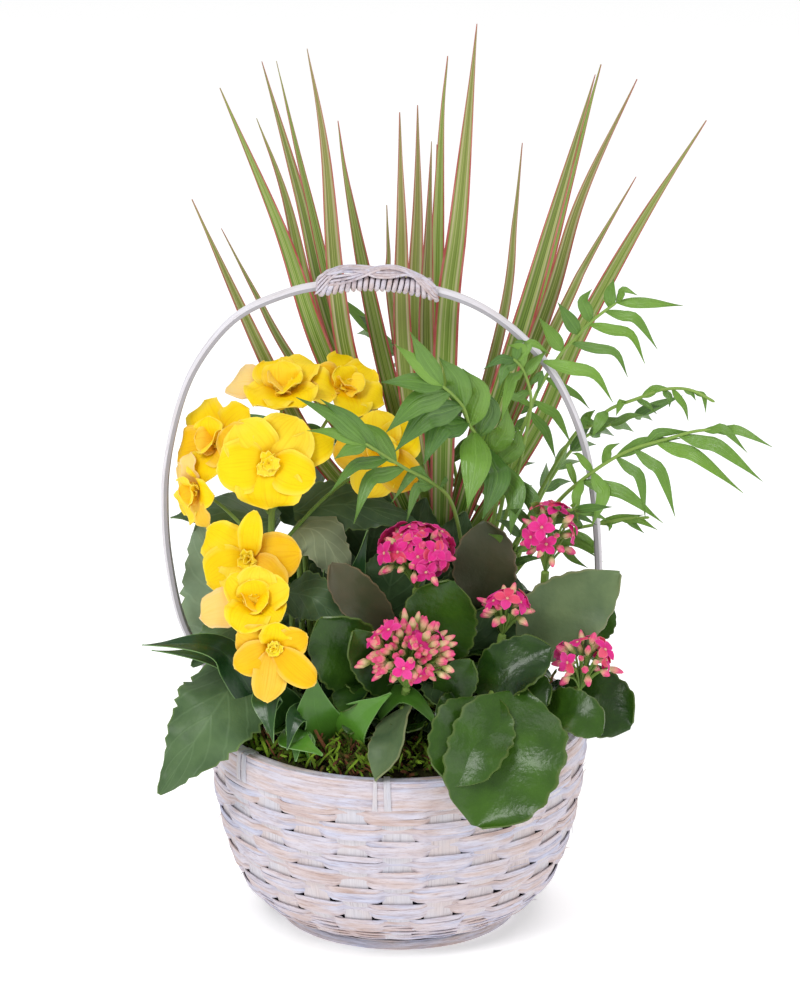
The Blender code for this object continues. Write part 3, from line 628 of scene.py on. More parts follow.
def ring_strip(bunch, radius, low, high, start, tone, swell=0.15, drift=0.2):
    """A flat splint bent into a hoop, its ends lapped."""
    angle = start + splint.v * LAPPED_TURN
    s = splint.side
    lap = 0.7 * np.clip((splint.v - 0.975) / 0.02, 0, 1)
    r = radius + swell * (1 - s * s) + lap + 0.12 * np.sin(5 * angle + start)
    z = (low + high) / 2 + s * (high - low) / 2 + drift * np.sin(3 * angle + 2 * start)
    bunch.add(splint, ring(r, angle, z), np.clip(tone + 0.22 * np.sin(2 * angle + 3 * start), 0, 1))


band = Bunch()
ring_strip(band, 113.7, RIM_LOW - 0.4, RIM_LOW + 7.6, 1.2, 0.45)
ring_strip(band, 114.0, RIM_LOW + 6.6, RIM_HIGH - 3.3, 1.9, 0.62)
ring_strip(band, 113.6, RIM_HIGH - 4.3, RIM_HIGH - 0.2, 0.7, 0.30)
for low_r, high_r, high, lap in ((108.4, 112.2, 124.25, 0.5), (111.2, 114.6, 124.0, 1.9)):
    a = lap + splint.v * LAPPED_TURN
    r = low_r + (high_r - low_r) * splint.u + 0.1 * np.sin(7 * a)
    band.add(splint, ring(r, a, high + 0.3 * (1 - splint.side ** 2)), 0.4 + 0.2 * np.sin(3 * a + lap))
band.made("rim_splint_band", [SPLINT_ROUND], "whitewashed_splint", 1.3, 0.3, stands_for=("rim_band",))

inner = Bunch()
ring_strip(inner, 107.6, 113.5, 124.6, 2.3, 0.85, 0.5)
ring_strip(inner, 110.2, 117.5, 123.6, 1.4, 0.7, 0.3)
inner.made("inner_rim_ring", [SPLINT_ROUND], "whitewashed_cane", 1.5, 0.4, stands_for=("rim_inner_hoop",))

TIE_ANGLES = (-149, -101, -53, -5, 43, 91, 139, 175)
TIE_SPLINTS = (-3.6, -1.5, 1.3, 3.4)
TIE_PATH = [(105.9, 111.5), (105.7, 119), (106.5, 124.6), (110, 125.3), (114.0, 125.0), (115.0, 122.6),
            (115.15, 114), (114.9, 108), (114.1, 106.0), (112.4, 104.8)]
TIE_RADIUS = 114
strap = sheet(2, 34)
ties = Bunch()
for degrees in TIE_ANGLES:
    for shift in TIE_SPLINTS:
        base = FRONT + math.radians(degrees) + (shift + rng.uniform(-0.25, 0.25)) / TIE_RADIUS
        lean = rng.uniform(-0.5, 0.5) / TIE_RADIUS
        spine = [(r * math.cos(base + lean * i), r * math.sin(base + lean * i), z)
                 for i, (r, z) in enumerate(TIE_PATH)]
        side = np.array([-math.sin(base), math.cos(base), 0.0])
        spot, _ = along(spine, strap.v)
        width = rng.uniform(1.9, 2.5)
        ties.add(strap, spot + side * ((strap.u - 0.5) * -width)[:, None], rng.uniform(0.1, 0.7))
ties.made("rim_ties", [STAKE_FINISH], "whitewashed_splint", 0.5, 0.12)

foot = Bunch()
for n, (radius, low, high) in enumerate(((73.0, 0.1, 2.9), (73.3, 2.6, 5.2), (72.9, 4.9, 7.2))):
    ring_strip(foot, radius, low, high, 1.0 + n, 0.3 + 0.2 * n, 0.35, 0.12)
foot.made("foot_wrap", [SPLINT_ROUND], "whitewashed_splint", 1.0, 0.25)

# ---------------------------------------------------------------- the handle

HOOP = [(x, 0, z) for x, z in (
    (-102.5, 86), (-102.5, 100), (-102.5, 114), (-103, 127), (-112, 146), (-130, 182), (-138, 222),
    (-140, 261), (-138, 286), (-131, 318), (-121, 343), (-106, 365), (-90, 379), (-68, 389), (-47, 394),
    (-12, 396), (23, 391), (49, 381), (73, 363), (92, 340), (106, 312), (115, 280), (119.5, 242),
    (120.5, 200), (112, 152), (103, 127), (102.5, 114), (102.5, 100), (102.5, 86))]
STRIP_THICK, STRIP_WIDE = 4.6, 9.0
hoop_spots = curve_points(HOOP)
hoop_run = run_along(hoop_spots)
crest = hoop_spots[:, 2] > 350
GRIP_START, GRIP_END = np.interp((-46.5, 22), hoop_spots[crest, 0], hoop_run[crest]) / hoop_run[-1]
GRIP = GRIP_END - GRIP_START


def on_hoop(t, out, deep):
    """A place by the hoop: fraction of its length, distance outwards, and distance back (+Y)."""
    spot, ahead = along(HOOP, t)
    outward = np.stack([-ahead[:, 2], 0 * t, ahead[:, 0]], -1)
    spot = spot + outward * np.broadcast_to(out, t.shape)[:, None]
    return spot + np.array([0.0, 1.0, 0.0]) * np.broadcast_to(deep, t.shape)[:, None]


strip = sheet(14, 300)
hoop = Bunch()
ends = end_fade(strip.v, 0.002)
wobble = 0.10 * np.sin(40 * strip.v) + 0.06 * np.sin(97 * strip.v)
bow, spread = np.sin(strip.turn), np.cos(strip.turn)
out = STRIP_THICK / 2 * ends * np.where(bow > 0, np.abs(bow) ** 0.8, -np.abs(bow) ** 0.30)
deep = STRIP_WIDE / 2 * ends * np.sign(spread) * np.abs(spread) ** 0.7
# Painted shade: the flat inner face and the edges get tone 1.9, which the hoop's finish turns to its shade
# grey; the crowned outer face keeps a streaked tone.
grey = np.where(out > 0.35, 0.5 + 0.3 * np.sin(9 * strip.v), 1.9)
hoop.add(strip, on_hoop(strip.v, out + wobble, deep), grey)
hoop.made("hoop_strip", [SPLINT_HANDLE], "whitewashed_splint", merge=True, stands_for=("handle_hoop",))

# Cane wound round the grip, upright in the middle and raked towards both ends
COIL_TURNS, COIL_RADIUS, COIL_FLAT, COIL_RAKE = 20, 1.5, 0.75, 0.0042
t = np.linspace(0, 1, 30 * COIL_TURNS + 1)
a = FULL_TURN * COIL_TURNS * t - math.pi / 2
off_strip = 0.3 + COIL_RADIUS * COIL_FLAT
squared = 1 / (np.abs(np.cos(a)) ** 3.2 + np.abs(np.sin(a)) ** 3.2) ** (1 / 3.2)
raked = np.clip((np.abs(2 * t - 1) - 0.45) / 0.55, 0, 1)
path = on_hoop(GRIP_START + GRIP * t + COIL_RAKE * np.sign(0.5 - t) * raked * np.cos(a),
               (STRIP_THICK / 2 + off_strip) * np.cos(a) * squared * (1 + 0.45 * raked),
               (STRIP_WIDE / 2 + off_strip) * np.sin(a) * squared)
centre, _ = along(HOOP, GRIP_START + GRIP * long_rod.v)
spot, ahead = along(path, long_rod.v)
across = unit(np.cross(ahead, unit(spot - centre)))
outward = np.cross(across, ahead)
size = COIL_RADIUS * end_fade(long_rod.v, 0.01) ** 0.5
coils = Bunch()
spot = spot + across * (np.cos(long_rod.turn) * size)[:, None]
spot = spot - outward * (np.sin(long_rod.turn) * size * COIL_FLAT)[:, None]
coils.add(long_rod, spot, 0.45 + 0.35 * np.sin(33 * long_rod.v))
coils.made("grip_coils", [CANE], "whitewashed_cane", merge=True, stands_for=("handle_grip_wrap",))

# Painted shade: a near-black core under the coils shows as the shade between them
core = Bunch()
t = GRIP_START + 0.003 + (GRIP - 0.006) * long_rod.v
bow, spread = np.sin(long_rod.turn), np.cos(long_rod.turn)
squeeze = 1 / (np.abs(spread) ** 4 + np.abs(bow) ** 4) ** 0.25 * end_fade(long_rod.v, 0.01)
core.add(long_rod, on_hoop(t, spread * squeeze * (STRIP_THICK / 2 + 0.7) + 0.4,
                           bow * squeeze * (STRIP_WIDE / 2 + 0.5)))
core.made("grip_core_painted_shade", [GAP_SHADE], "whitewashed_cane", merge=True)

CANE_STEP = 2.55
PLAIT = [  # canes side by side, then places along the grip, off it and back
    (4, [(-0.06, -1.5, -5.2), (-0.03, 2.5, -6.6), (0.07, 7.0, -5.0), (0.20, 9.6, -0.8), (0.38, 8.2, 2.6),
         (0.58, 6.6, 3.6), (0.78, 6.4, 3.6), (0.95, 3.0, 5.2)]),
    (3, [(-0.02, 1.0, 6.0), (0.05, 6.0, 5.0), (0.18, 7.6, 2.4), (0.36, 7.6, -2.6), (0.50, 6.2, -5.4),
         (0.62, 6.4, -5.2), (0.76, 7.6, -3.4), (0.88, 6.2, -4.6), (1.0, 2.4, -6.4), (1.07, -1.5, -5.2)]),
    (4, [(0.04, 4.6, -6.2), (0.20, 5.4, -6.4), (0.36, 6.4, -4.8), (0.50, 8.6, -0.4), (0.64, 9.8, 0.8),
         (0.80, 8.2, -1.6), (0.93, 4.6, -5.4), (1.03, 0.5, -6.4), (1.08, -2.0, -5.0)]),
    (2, [(0.30, 7.2, 4.6), (0.46, 7.4, 1.6), (0.60, 8.2, -1.6), (0.74, 7.4, 1.4), (0.90, 5.2, 4.6),
         (1.03, 1.0, 5.6)]),
]
plait = Bunch()
for canes, places in PLAIT:
    share, off, back = np.array(places).T
    for n in range(canes):
        shift = (n - (canes - 1) / 2) * CANE_STEP
        lean = np.clip(np.gradient(back) / (np.abs(np.gradient(share)) * 72 + 1e-6), -1.2, 1.2)
        flank = np.clip((np.abs(back) - 4.2) / 2.2, 0, 1)
        path = on_hoop(GRIP_START + GRIP * (0.03 + 0.93 * share - shift * lean / 95),
                       off + shift * flank * 0.9 + rng.uniform(-0.15, 0.15), back + shift * (1 - flank) * 0.9)
        plait.tube(rod, path, rng.uniform(0.82, 0.98), 0.9, (0.0, 0.0, 1.0), tone=rng.uniform(0.15, 0.9))
plait.made("grip_plait", [CANE], "whitewashed_cane", merge=True, stands_for=("handle_grip_braid",))

# ---------------------------------------------------------- moss and plants

MOSS_RADIUS = 105.2
WALL_INSIDE = 106.5
SOIL_LEVEL = 76


def lumps(x, y):
    """Gentle, repeatable lumps over the planted ground."""
    return (np.sin(0.11 * x + 1.3) * np.cos(0.13 * y - 0.4) + 0.6 * np.sin(0.23 * x - 0.19 * y + 2.0)
            + 0.35 * np.sin(0.41 * y + 0.37 * x)) / 1.95


def moss_height(x, y):
    level = np.interp(np.hypot(x, y), (0, 50, 75, 90, 99, 105), (131, 131, 130.5, 129, 126.5, 122))
    return level + 2.2 * lumps(x, y)


disc = sheet(96, 30)
bed = Bunch()
r = MOSS_RADIUS * disc.v ** 0.8
x, y = r * np.cos(disc.turn), r * np.sin(disc.turn)
z = moss_height(x, y) - 2.0 + 0.9 * np.sin(1.7 * x) * np.sin(1.9 * y)
bed.add(disc, np.stack([x, y, z], -1), 0.5 + 0.4 * lumps(y, x))
bed.made("moss_bed", [MOSS_BED], "moss", 1.2, merge=True, stands_for=("moss_top",))

CURLS = 3000
curls = Bunch()
for n in range(CURLS):
    front_heavy = n % 3 != 0
    r = 104.5 * math.sqrt(rng.uniform(0.12 if front_heavy else 0.0, 1))
    a = rng.uniform(math.pi * 1.04, math.pi * 1.96) if front_heavy else rng.uniform(0, FULL_TURN)
    x, y = r * math.cos(a), r * math.sin(a)
    z = float(moss_height(x, y)) - 1.8 + rng.uniform(0, 2.5)
    way, bend = rng.uniform(0, FULL_TURN), rng.uniform(-0.95, 0.95)
    rise, step = rng.uniform(0.2, 2.0), rng.uniform(1.3, 2.5)
    path = [(x, y, z)]
    for k in range(5):
        x, y, z = x + step * math.cos(way), y + step * math.sin(way), z + step * rise
        way, rise = way + bend, rise - rng.uniform(0.1, 0.42)
        inwards = min(1.0, WALL_INSIDE / math.hypot(x, y))
        x, y = x * inwards, y * inwards
        path.append((x, y, z))
    green = float(lumps(x * 1.7, y * 1.4 + 20)) * 0.42
    curls.tube(thread, path, rng.uniform(0.5, 1.25), ends=0.1,
               tone=min(1, max(0, rng.gauss(0.55 + green, 0.26))))
curls.made("moss_curls", [MOSS], "moss", merge=True)

# Tricolour dracaena
CROWN = (25.0, 45.0, 208.0)
SWORDS = [  # width, bend, upper bend, tip
    (11.4, (29, 32, 361), (36, 22, 431), (46, 10, 549)),
    (9.5, (-30, 34, 339), (-43, 26, 470), (-53, 16, 533)), (9.0, (4, 37, 337), (2, 31, 428), (1, 25, 493)),
    (10.0, (74, 37, 357), (92, 33, 424), (116, 28, 515)),
    (10.0, (-43, 39, 337), (-70, 37, 419), (-105, 32, 506)),
    (8.0, (-50, 41, 278), (-80, 42, 336), (-123, 42, 436)),
    (9.0, (17, 43, 344), (18, 46, 411), (20, 48, 470)),
    (8.5, (85, 46, 293), (109, 48, 350), (145, 52, 418), (184, 56, 481)),
    (8.0, (88, 52, 360), (110, 60, 432), (143, 70, 503)),
    (9.0, (-11, 53, 344), (-30, 62, 438), (-36, 68, 478)),
    (6.0, (-32, 58, 344), (-55, 72, 434), (-73, 84, 511)),
    (8.0, (23, 62, 349), (26, 84, 464), (30, 98, 511)),
    (9.0, (-44, 66, 329), (-68, 88, 424), (-86, 105, 471)),
    (9.0, (11, 70, 337), (12, 106, 417), (12, 132, 473)),
    (9.0, (79, 74, 351), (102, 112, 421), (125, 148, 495)),
    (10.0, (-38, 78, 343), (-60, 120, 419), (-84, 152, 496)),
    (6.0, (102, 92, 355), (117, 118, 378), (148, 152, 423)),
    (5.5, (-64, 70, 327), (-88, 96, 364), (-109, 120, 398)),
    (7.0, (-4, 90, 356), (-6, 106, 388), (-7, 120, 413)),
    (5.0, (22, 90, 342), (23, 126, 394), (24, 150, 444)),
    (5.5, (64, 80, 351), (72, 120, 404), (77, 150, 445)),
]
PACKED_SWORDS = 17
long_leaf = sheet(6, 46)
for n, (width, *pts) in enumerate(SWORDS):
    layer = n - 8 if n < PACKED_SWORDS else 8 + 0.3 * (n - 16)
    lean = (pts[0][0] - CROWN[0]) / (pts[0][2] - CROWN[2])
    root = (CROWN[0] + 9.5 * lean, CROWN[1] + 2.25 * layer, CROWN[2] - 6)
    second = (root[0] + 24 * lean, root[1] + (pts[0][1] - root[1]) * 0.15, root[2] + 30)
    sword = Bunch()
    sword.leaf(long_leaf, [root, second] + pts, width * 1.32, SWORD,
               (rng.uniform(-0.3, 0.3), -1, rng.uniform(-0.1, 0.25)), fold=0.24, cup=-0.10, wave=0.05,
               waves=rng.uniform(1.2, 3), turn=rng.uniform(-0.45, 0.45), phase=rng.uniform(0, 6),
               tone=rng.random())
    sword.made(f"sword_{n + 1:02d}", [BLADE], "dracaena_blade", 0.55,
               stands_for=(f"dracaena_leaf_{n + 1:02d}",) if n < PACKED_SWORDS else ())

cane = Bunch()
height = 74 + (CROWN[2] - 74) * rod.v
thick = np.interp(height, (74, 120, 172, 188, 200, 206, 208), (6.4, 6.4, 6.6, 9.2, 11.0, 9.0, 0.1))
thick = thick * (1 + 0.05 * np.sin(height * 1.25)) * np.clip(rod.v / 0.004, 0, 1)
cane.add(rod, ring(thick, rod.turn, height) + np.array([CROWN[0], CROWN[1], 0.0]))
cane.made("leafy_cane", [BARK], "dracaena_bark", merge=True, stands_for=("dracaena_cane",))

# Parlour palm
PALM_SPRAYS = [  # letter, rachis points, then (width, foot, middle, tip) of each leaflet
    ("A", [
        (48, 38, 186), (61, 32, 238), (68, 28, 275), (81, 25, 314), (86, 24, 326), (97, 22, 345),
        (105, 20, 355), (116, 17, 368), (130, 14, 380)], [
        (11, (100, 22, 346), (92, 19, 358), (84, 16, 371)),
        (11, (109, 20, 358), (102, 16, 369), (95, 13, 381)),
        (9, (115, 17, 368), (110, 14, 381), (115, 10, 390)),
        (9, (125, 15, 377), (126, 12, 387), (128, 8, 397)),
        (4, (130, 14, 380), (134, 10, 389), (142, 6, 387)),
        (4, (130, 14, 380), (148, 9, 381), (169, 4, 382)),
        (5, (122, 15, 374), (142, 8, 371), (154, 0, 356)),
        (5, (115, 17, 365), (139, 10, 361), (147, 4, 346)),
        (5, (104, 20, 353), (130, 13, 349), (137, 6, 337)),
        (7, (86, -8, 350), (116, -15, 344), (127, -22, 330)),
        (4, (101, 23, 324), (108, 20, 320), (115, 16, 314)),
        (5, (85, 25, 315), (95, 20, 308), (104, 14, 293)), (5, (80, 26, 308), (89, 20, 298), (95, 14, 283)),
        (3, (81, 26, 313), (71, 22, 319), (61, 18, 321)), (4, (73, 26, 291), (65, 20, 298), (58, 14, 294))]),
    ("B", [
        (56, 26, 190), (79, 16, 231), (97, 0, 261), (112, -14, 280), (128, -24, 295), (142, -34, 305),
        (158, -44, 313), (173, -52, 320), (187, -60, 324)], [
        (2, (181, -58, 323), (199, -67, 325), (217, -76, 319)),
        (2, (178, -55, 323), (190, -64, 325), (203, -72, 314)),
        (4, (166, -48, 314), (188, -61, 313), (212, -74, 298)),
        (5, (152, -42, 308), (175, -56, 306), (201, -70, 290)),
        (4, (141, -34, 300), (155, -44, 292), (163, -54, 269)),
        (4, (129, -26, 294), (143, -35, 286), (146, -44, 265)),
        (5, (112, -14, 272), (135, -25, 273), (157, -36, 260)),
        (8, (116, -18, 282), (122, -24, 272), (115, -30, 255)),
        (5, (107, -14, 280), (106, -19, 269), (107, -24, 256)),
        (5, (119, -20, 292), (125, -24, 301), (131, -28, 306)),
        (4, (111, -16, 290), (107, -21, 296), (103, -26, 299)),
        (5, (96, -8, 283), (101, -13, 289), (104, -18, 280)),
        (5, (145, -36, 303), (154, -41, 316), (172, -46, 319)),
        (5, (128, -26, 296), (145, -35, 308), (167, -44, 315))]),
    ("C", [
        (53, 44, 184), (73, 40, 223), (90, 32, 263), (107, 22, 296), (116, 16, 303), (127, 10, 315),
        (143, 2, 324), (158, -6, 332), (173, -14, 334), (187, -22, 329)], [
        (6, (122, 10, 318), (121, 6, 310), (116, 2, 300)), (6, (134, 6, 325), (133, 3, 321), (130, 0, 314)),
        (3, (158, -6, 332), (161, -9, 328), (161, -12, 323)),
        (2, (169, -12, 334), (174, -15, 332), (176, -18, 329)),
        (2, (143, 2, 322), (149, -2, 321), (154, -6, 317)),
        (1, (163, -8, 329), (170, -12, 323), (172, -16, 316)),
        (1, (175, -14, 333), (181, -17, 331), (182, -20, 322)),
        (6, (112, 18, 312), (112, 13, 307), (111, 8, 301)),
        (5, (109, 20, 299), (114, 15, 309), (118, 10, 315)),
        (4, (145, 0, 324), (154, -4, 332), (164, -8, 333))]),
    ("D", [
        (47, 22, 191), (58, 18, 243), (60, 8, 278), (52, -2, 296), (43, -12, 311), (39, -22, 325),
        (33, -30, 335), (26, -36, 343)], [
        (8, (26, -36, 343), (15, -44, 363), (7, -52, 382)),
        (7, (24, -36, 344), (12, -45, 359), (-2, -54, 375)),
        (9, (26, -36, 342), (7, -47, 349), (-10, -58, 353)),
        (11, (31, -32, 338), (10, -44, 334), (-7, -56, 322)),
        (12, (38, -24, 326), (16, -38, 324), (-2, -52, 309)),
        (13, (44, -14, 315), (25, -29, 316), (15, -44, 298)),
        (11, (38, -22, 326), (34, -28, 346), (24, -34, 361)),
        (13, (46, -12, 313), (47, -19, 335), (38, -26, 352)),
        (10, (49, -6, 305), (55, -10, 321), (49, -14, 338)),
        (13, (58, 0, 289), (64, -3, 306), (65, -6, 322)), (10, (65, 6, 282), (72, 4, 295), (71, 2, 308)),
        (18, (48, -14, 304), (46, -27, 292), (41, -40, 270)),
        (14, (58, -8, 290), (59, -19, 280), (50, -30, 260)),
        (11, (64, -4, 278), (70, -14, 269), (67, -24, 248)),
        (8, (73, 0, 271), (80, -9, 264), (85, -18, 243))]),
    ("E", [
        (42, 20, 192), (38, 8, 233), (31, -8, 264), (19, -20, 279), (5, -30, 290), (-7, -40, 301),
        (-19, -50, 312)], [
        (7, (-19, -50, 313), (-38, -60, 332), (-59, -70, 348)),
        (8, (-11, -44, 306), (-29, -54, 329), (-45, -64, 345)),
        (10, (-1, -36, 295), (-13, -43, 316), (-25, -50, 327)),
        (4, (-26, -52, 315), (-40, -59, 322), (-53, -66, 326)),
        (7, (-19, -50, 310), (-29, -56, 310), (-37, -62, 307)),
        (7, (-5, -40, 300), (-26, -50, 298), (-40, -60, 286)),
        (8, (4, -32, 290), (-17, -43, 287), (-26, -54, 265)),
        (5, (25, -16, 283), (10, -25, 287), (-4, -34, 271)),
        (5, (23, -16, 279), (11, -25, 276), (5, -34, 259)),
        (7, (31, -12, 282), (29, -16, 280), (24, -20, 275))]),
    ("F", [
        (52, 30, 188), (68, 16, 256), (76, 4, 298), (79, -6, 326), (74, -14, 346), (68, -20, 355)], [
        (4, (68, -20, 353), (60, -25, 356), (50, -30, 352)),
        (5, (70, -18, 352), (63, -24, 350), (59, -30, 340)),
        (5, (74, -14, 346), (67, -19, 341), (61, -24, 318)),
        (5, (76, -12, 342), (80, -10, 349), (88, -8, 357)),
        (5, (74, -14, 349), (73, -17, 361), (64, -20, 364)),
        (5, (78, -8, 336), (85, -11, 343), (82, -14, 330)),
        (4, (77, -8, 332), (70, -12, 329), (61, -16, 335)),
        (4, (72, -16, 357), (79, -14, 363), (90, -12, 356)),
        (5, (68, -18, 355), (71, -17, 364), (76, -16, 365))]),
    ("G", [
        (64, 36, 186), (85, 30, 221), (103, 22, 234), (120, 14, 241), (136, 6, 247), (151, 0, 250)], [
        (4, (120, 13, 241), (134, 8, 247), (148, 2, 252)),
        (4, (133, 6, 246), (145, 1, 248), (156, -4, 244)),
        (2, (126, 10, 243), (128, 8, 242), (127, 6, 239)),
        (3, (136, 4, 247), (143, 1, 244), (148, -2, 241)),
        (4, (97, 22, 219), (110, 17, 227), (121, 12, 221)),
        (3, (106, 20, 231), (115, 15, 231), (124, 10, 225)),
        (4, (104, 18, 227), (118, 13, 225), (124, 8, 220)),
        (5, (97, 20, 223), (106, 14, 219), (115, 8, 216)),
        (4, (112, 18, 238), (106, 15, 244), (115, 12, 252))]),
]
PALM_STYLES = {  # stem foot, shade, breadth
    "A": ((50, 36), 0.62, 1.0), "C": ((62, 44), 0.65, 1.15), "B": ((66, 26), 0.75, 1.0),
    "D": ((48, 19), 0.42, 1.25), "E": ((38, 22), 0.42, 1.1), "F": ((56, 26), 0.42, 1.15),
    "G": ((72, 38), 0.7, 1.0)}
leaflet = sheet(4, 14)


def palm_spray(name, spine, leaflets, foot, bright, breadth=1.0, stands_for=()):
    """One palm frond: its stalk from the soil, and the leaflets along it."""
    spray = Bunch()
    spine = [p for p in spine if p[2] > 165]
    stalk = [(*foot, SOIL_LEVEL), (*foot, 112), (*foot, 146)] + spine
    spray.tube(long_rod, stalk, 1.5, taper=0.45, ends=0.004, tone=0.7, finish=1)
    rib, _ = along(spine, np.linspace(0, 1, 120))
    for width, foot_at, middle, tip in leaflets:
        foot_at, middle, tip = (np.array(place, float) for place in (foot_at, middle, tip))
        near = rib[np.argmin(np.linalg.norm(rib - foot_at, axis=1))]
        if np.linalg.norm(near - foot_at) > 30:
            near = foot_at
        length = np.linalg.norm(tip - near)
        sag = np.array([0, 0, -0.03 * length])
        wide = (max(min(width, 0.30 * length), 0.14 * length) + 1.0) * breadth
        places = [near, (near + middle) / 2 + (middle - foot_at) * 0.03, middle, tip + sag]
        spray.leaf(leaflet, places, wide, LEAFLET, (rng.uniform(-0.35, 0.35), -1, rng.uniform(0.1, 0.8)),
                   fold=0.16, cup=-0.25, turn=rng.uniform(-0.5, 0.5),
                   tone=min(1, max(0, rng.gauss(bright, 0.2))))
    spray.made(name, [PALM, STALK], "palm_leaf", 0.4, stands_for=stands_for)


for letter, spine, leaflets in PALM_SPRAYS:
    foot, bright, breadth = PALM_STYLES[letter]
    frond = list(PALM_STYLES).index(letter) + 1
    palm_spray(f"palm_spray_{letter}", spine, leaflets, foot, bright, breadth, (f"palm_frond_{frond}",))


def arching_spray(name, pairs, reach, *spine):
    """A palm frond with opposite leaflets, for the sides and back of the planting."""
    spots, ways = along(spine, np.linspace(0.42, 1, pairs))
    rows = []
    for k, (spot, way) in enumerate(zip(spots, ways)):
        side = unit(np.cross(way, np.array([0.1, 0.5, 0.9])))
        size = reach * (0.7 + 0.3 * math.sin(math.pi * (k + 0.6) / pairs))
        for hand in (-1, 1):
            out = unit(way * 0.75 + side * hand)
            drop = np.array([0, 0, -0.16 * size])
            rows.append((0.17 * size, spot, spot + out * size * 0.55 + drop * 0.2, spot + out * size + drop))
    last, way = spots[-1], ways[-1] * reach
    rows.append((0.15 * reach, last, last + way * 0.5, last + way * 0.95))
    palm_spray(name, list(spine), rows, spine[0][:2], 0.45)


arching_spray("palm_spray_low_front", 7, 30, (60, 20, 168), (68, 4, 222), (84, -14, 256), (104, -28, 264))
arching_spray("palm_spray_rear_1", 8, 42, (44, 62, 168), (38, 76, 240), (20, 92, 300), (-12, 108, 332))
arching_spray("palm_spray_rear_2", 7, 36, (66, 58, 168), (84, 72, 230), (112, 88, 270), (146, 98, 284))
arching_spray("palm_spray_rear_3", 7, 38, (14, 66, 168), (-4, 84, 220), (-34, 102, 262), (-70, 112, 272))
arching_spray("palm_spray_rear_4", 6, 34, (50, 74, 168), (58, 94, 222), (66, 112, 262), (72, 128, 276))

# Begonia
FLOWERS = [  # centre, radius, facing, petals: angle round the flower, length, width, lift, finish
    ((-76, -37, 296), 31, (-0.05, -1, 0.12),
     [(20, 1.30, 0.72, -6, 0), (150, 1.08, 0.9, -4, 1), (52, 1.02, 1.20, 5, 0), (124, 0.98, 1.05, 8, 0),
      (-14, 0.94, 0.88, 12, 0), (-84, 0.86, 1.30, 9, 0), (186, 0.98, 1.08, 12, 0)]),
    ((-68, 2, 329), 29, (-0.05, -0.42, 0.9),
     [(172, 1.22, 1.0, 2, 2), (8, 1.05, 1.1, 2, 0), (66, 1.0, 0.9, 8, 0), (118, 0.85, 0.95, 12, 0),
      (-58, 0.85, 1.2, 18, 0), (-124, 0.9, 1.15, 16, 0)]),
    ((-31, 13, 327), 23, (0.35, -0.5, 0.75),
     [(78, 1.25, 0.85, 2, 0), (18, 1.1, 1.0, 3, 0), (-42, 1.05, 1.0, 10, 0), (140, 1.0, 1.0, 6, 1),
      (-112, 1.0, 1.1, 12, 0)]),
    ((-108, -14, 302), 27, (-0.62, -0.6, 0.5),
     [(136, 1.18, 1.05, 2, 0), (64, 1.05, 1.0, 4, 0), (204, 1.1, 0.95, 5, 1), (-74, 0.95, 1.05, 12, 0),
      (-12, 0.9, 0.95, 14, 1)]),
    ((-120, -20, 274), 22, (-0.75, -0.55, -0.1),
     [(160, 1.0, 0.85, 2, 2), (228, 1.25, 1.0, 3, 0), (96, 1.0, 0.8, 6, 2), (8, 0.9, 0.85, 12, 0),
      (-58, 1.1, 0.85, 8, 1)]),
    ((-11, -6, 292), 26, (0.1, -0.9, 0.2),
     [(30, 1.0, 1.05, 4, 0), (100, 1.0, 1.1, 6, 0), (175, 1.05, 1.0, 4, 1), (-40, 1.1, 0.95, 8, 1),
      (-112, 1.05, 1.05, 8, 0)]),
    ((-88, -48, 240), 28, (-0.2, -0.9, 0.25),
     [(150, 1.08, 1.0, 8, 0), (214, 1.02, 1.12, 12, 0), (12, 1.15, 1.05, 6, 1), (-36, 1.12, 0.95, 12, 1),
      (-98, 0.8, 1.15, 20, 0), (76, 1.12, 0.55, 26, 0)]),
    ((-84, -76, 222), 24, (0.0, -0.7, 0.6),
     [(184, 1.35, 1.05, -8, 2), (138, 0.95, 0.95, 30, 0), (80, 0.95, 1.05, 36, 0), (20, 1.0, 0.95, 30, 0),
      (-42, 0.95, 1.05, 24, 0), (-112, 1.0, 1.15, 24, 0)]),
    ((-73, -92, 200), 23, (0.15, -0.95, 0.0),
     [(150, 1.0, 0.95, 6, 1), (202, 1.1, 0.95, 10, 1), (24, 0.95, 0.85, 14, 1), (82, 0.75, 0.85, 18, 0),
      (-98, 1.4, 0.92, 10, 1), (-46, 1.42, 0.82, 10, 1)]),
]
MAIN_STEM = [(-72, -22, SOIL_LEVEL), (-72, -22, 150), (-75, -18, 200), (-76, -14, 240), (-74, -12, 282)]
TWIGS = [  # where each leaves the main stem, then its bends
    (0.92, [(-70, -20, 288)]), (0.95, [(-72, -3, 300)]), (0.88, [(-52, -2, 295)]), (0.87, [(-92, -10, 278)]),
    (0.75, [(-100, -12, 256)]), (0.75, [(-45, -2, 262), (-18, 1, 282)]), (0.62, [(-86, -30, 228)]),
    (0.54, [(-78, -46, 202)]), (0.46, [(-70, -56, 176)])]
OPEN_FLOWERS = (0, 6, 8)
OPEN_HEART = [(72 * k + 20, 0.23, 0.30, 26, 3) for k in range(5)]
OPEN_HEART += [(120 * k + 50, 0.16, 0.22, 50, 3) for k in range(3)]
CLOSED_RING = [(100, 0.62, 0.85, 44, 0), (-30, 0.55, 0.8, 52, 0), (215, 0.5, 0.75, 58, 1)]
petal = sheet(14, 16)
small_petal = sheet(6, 8)


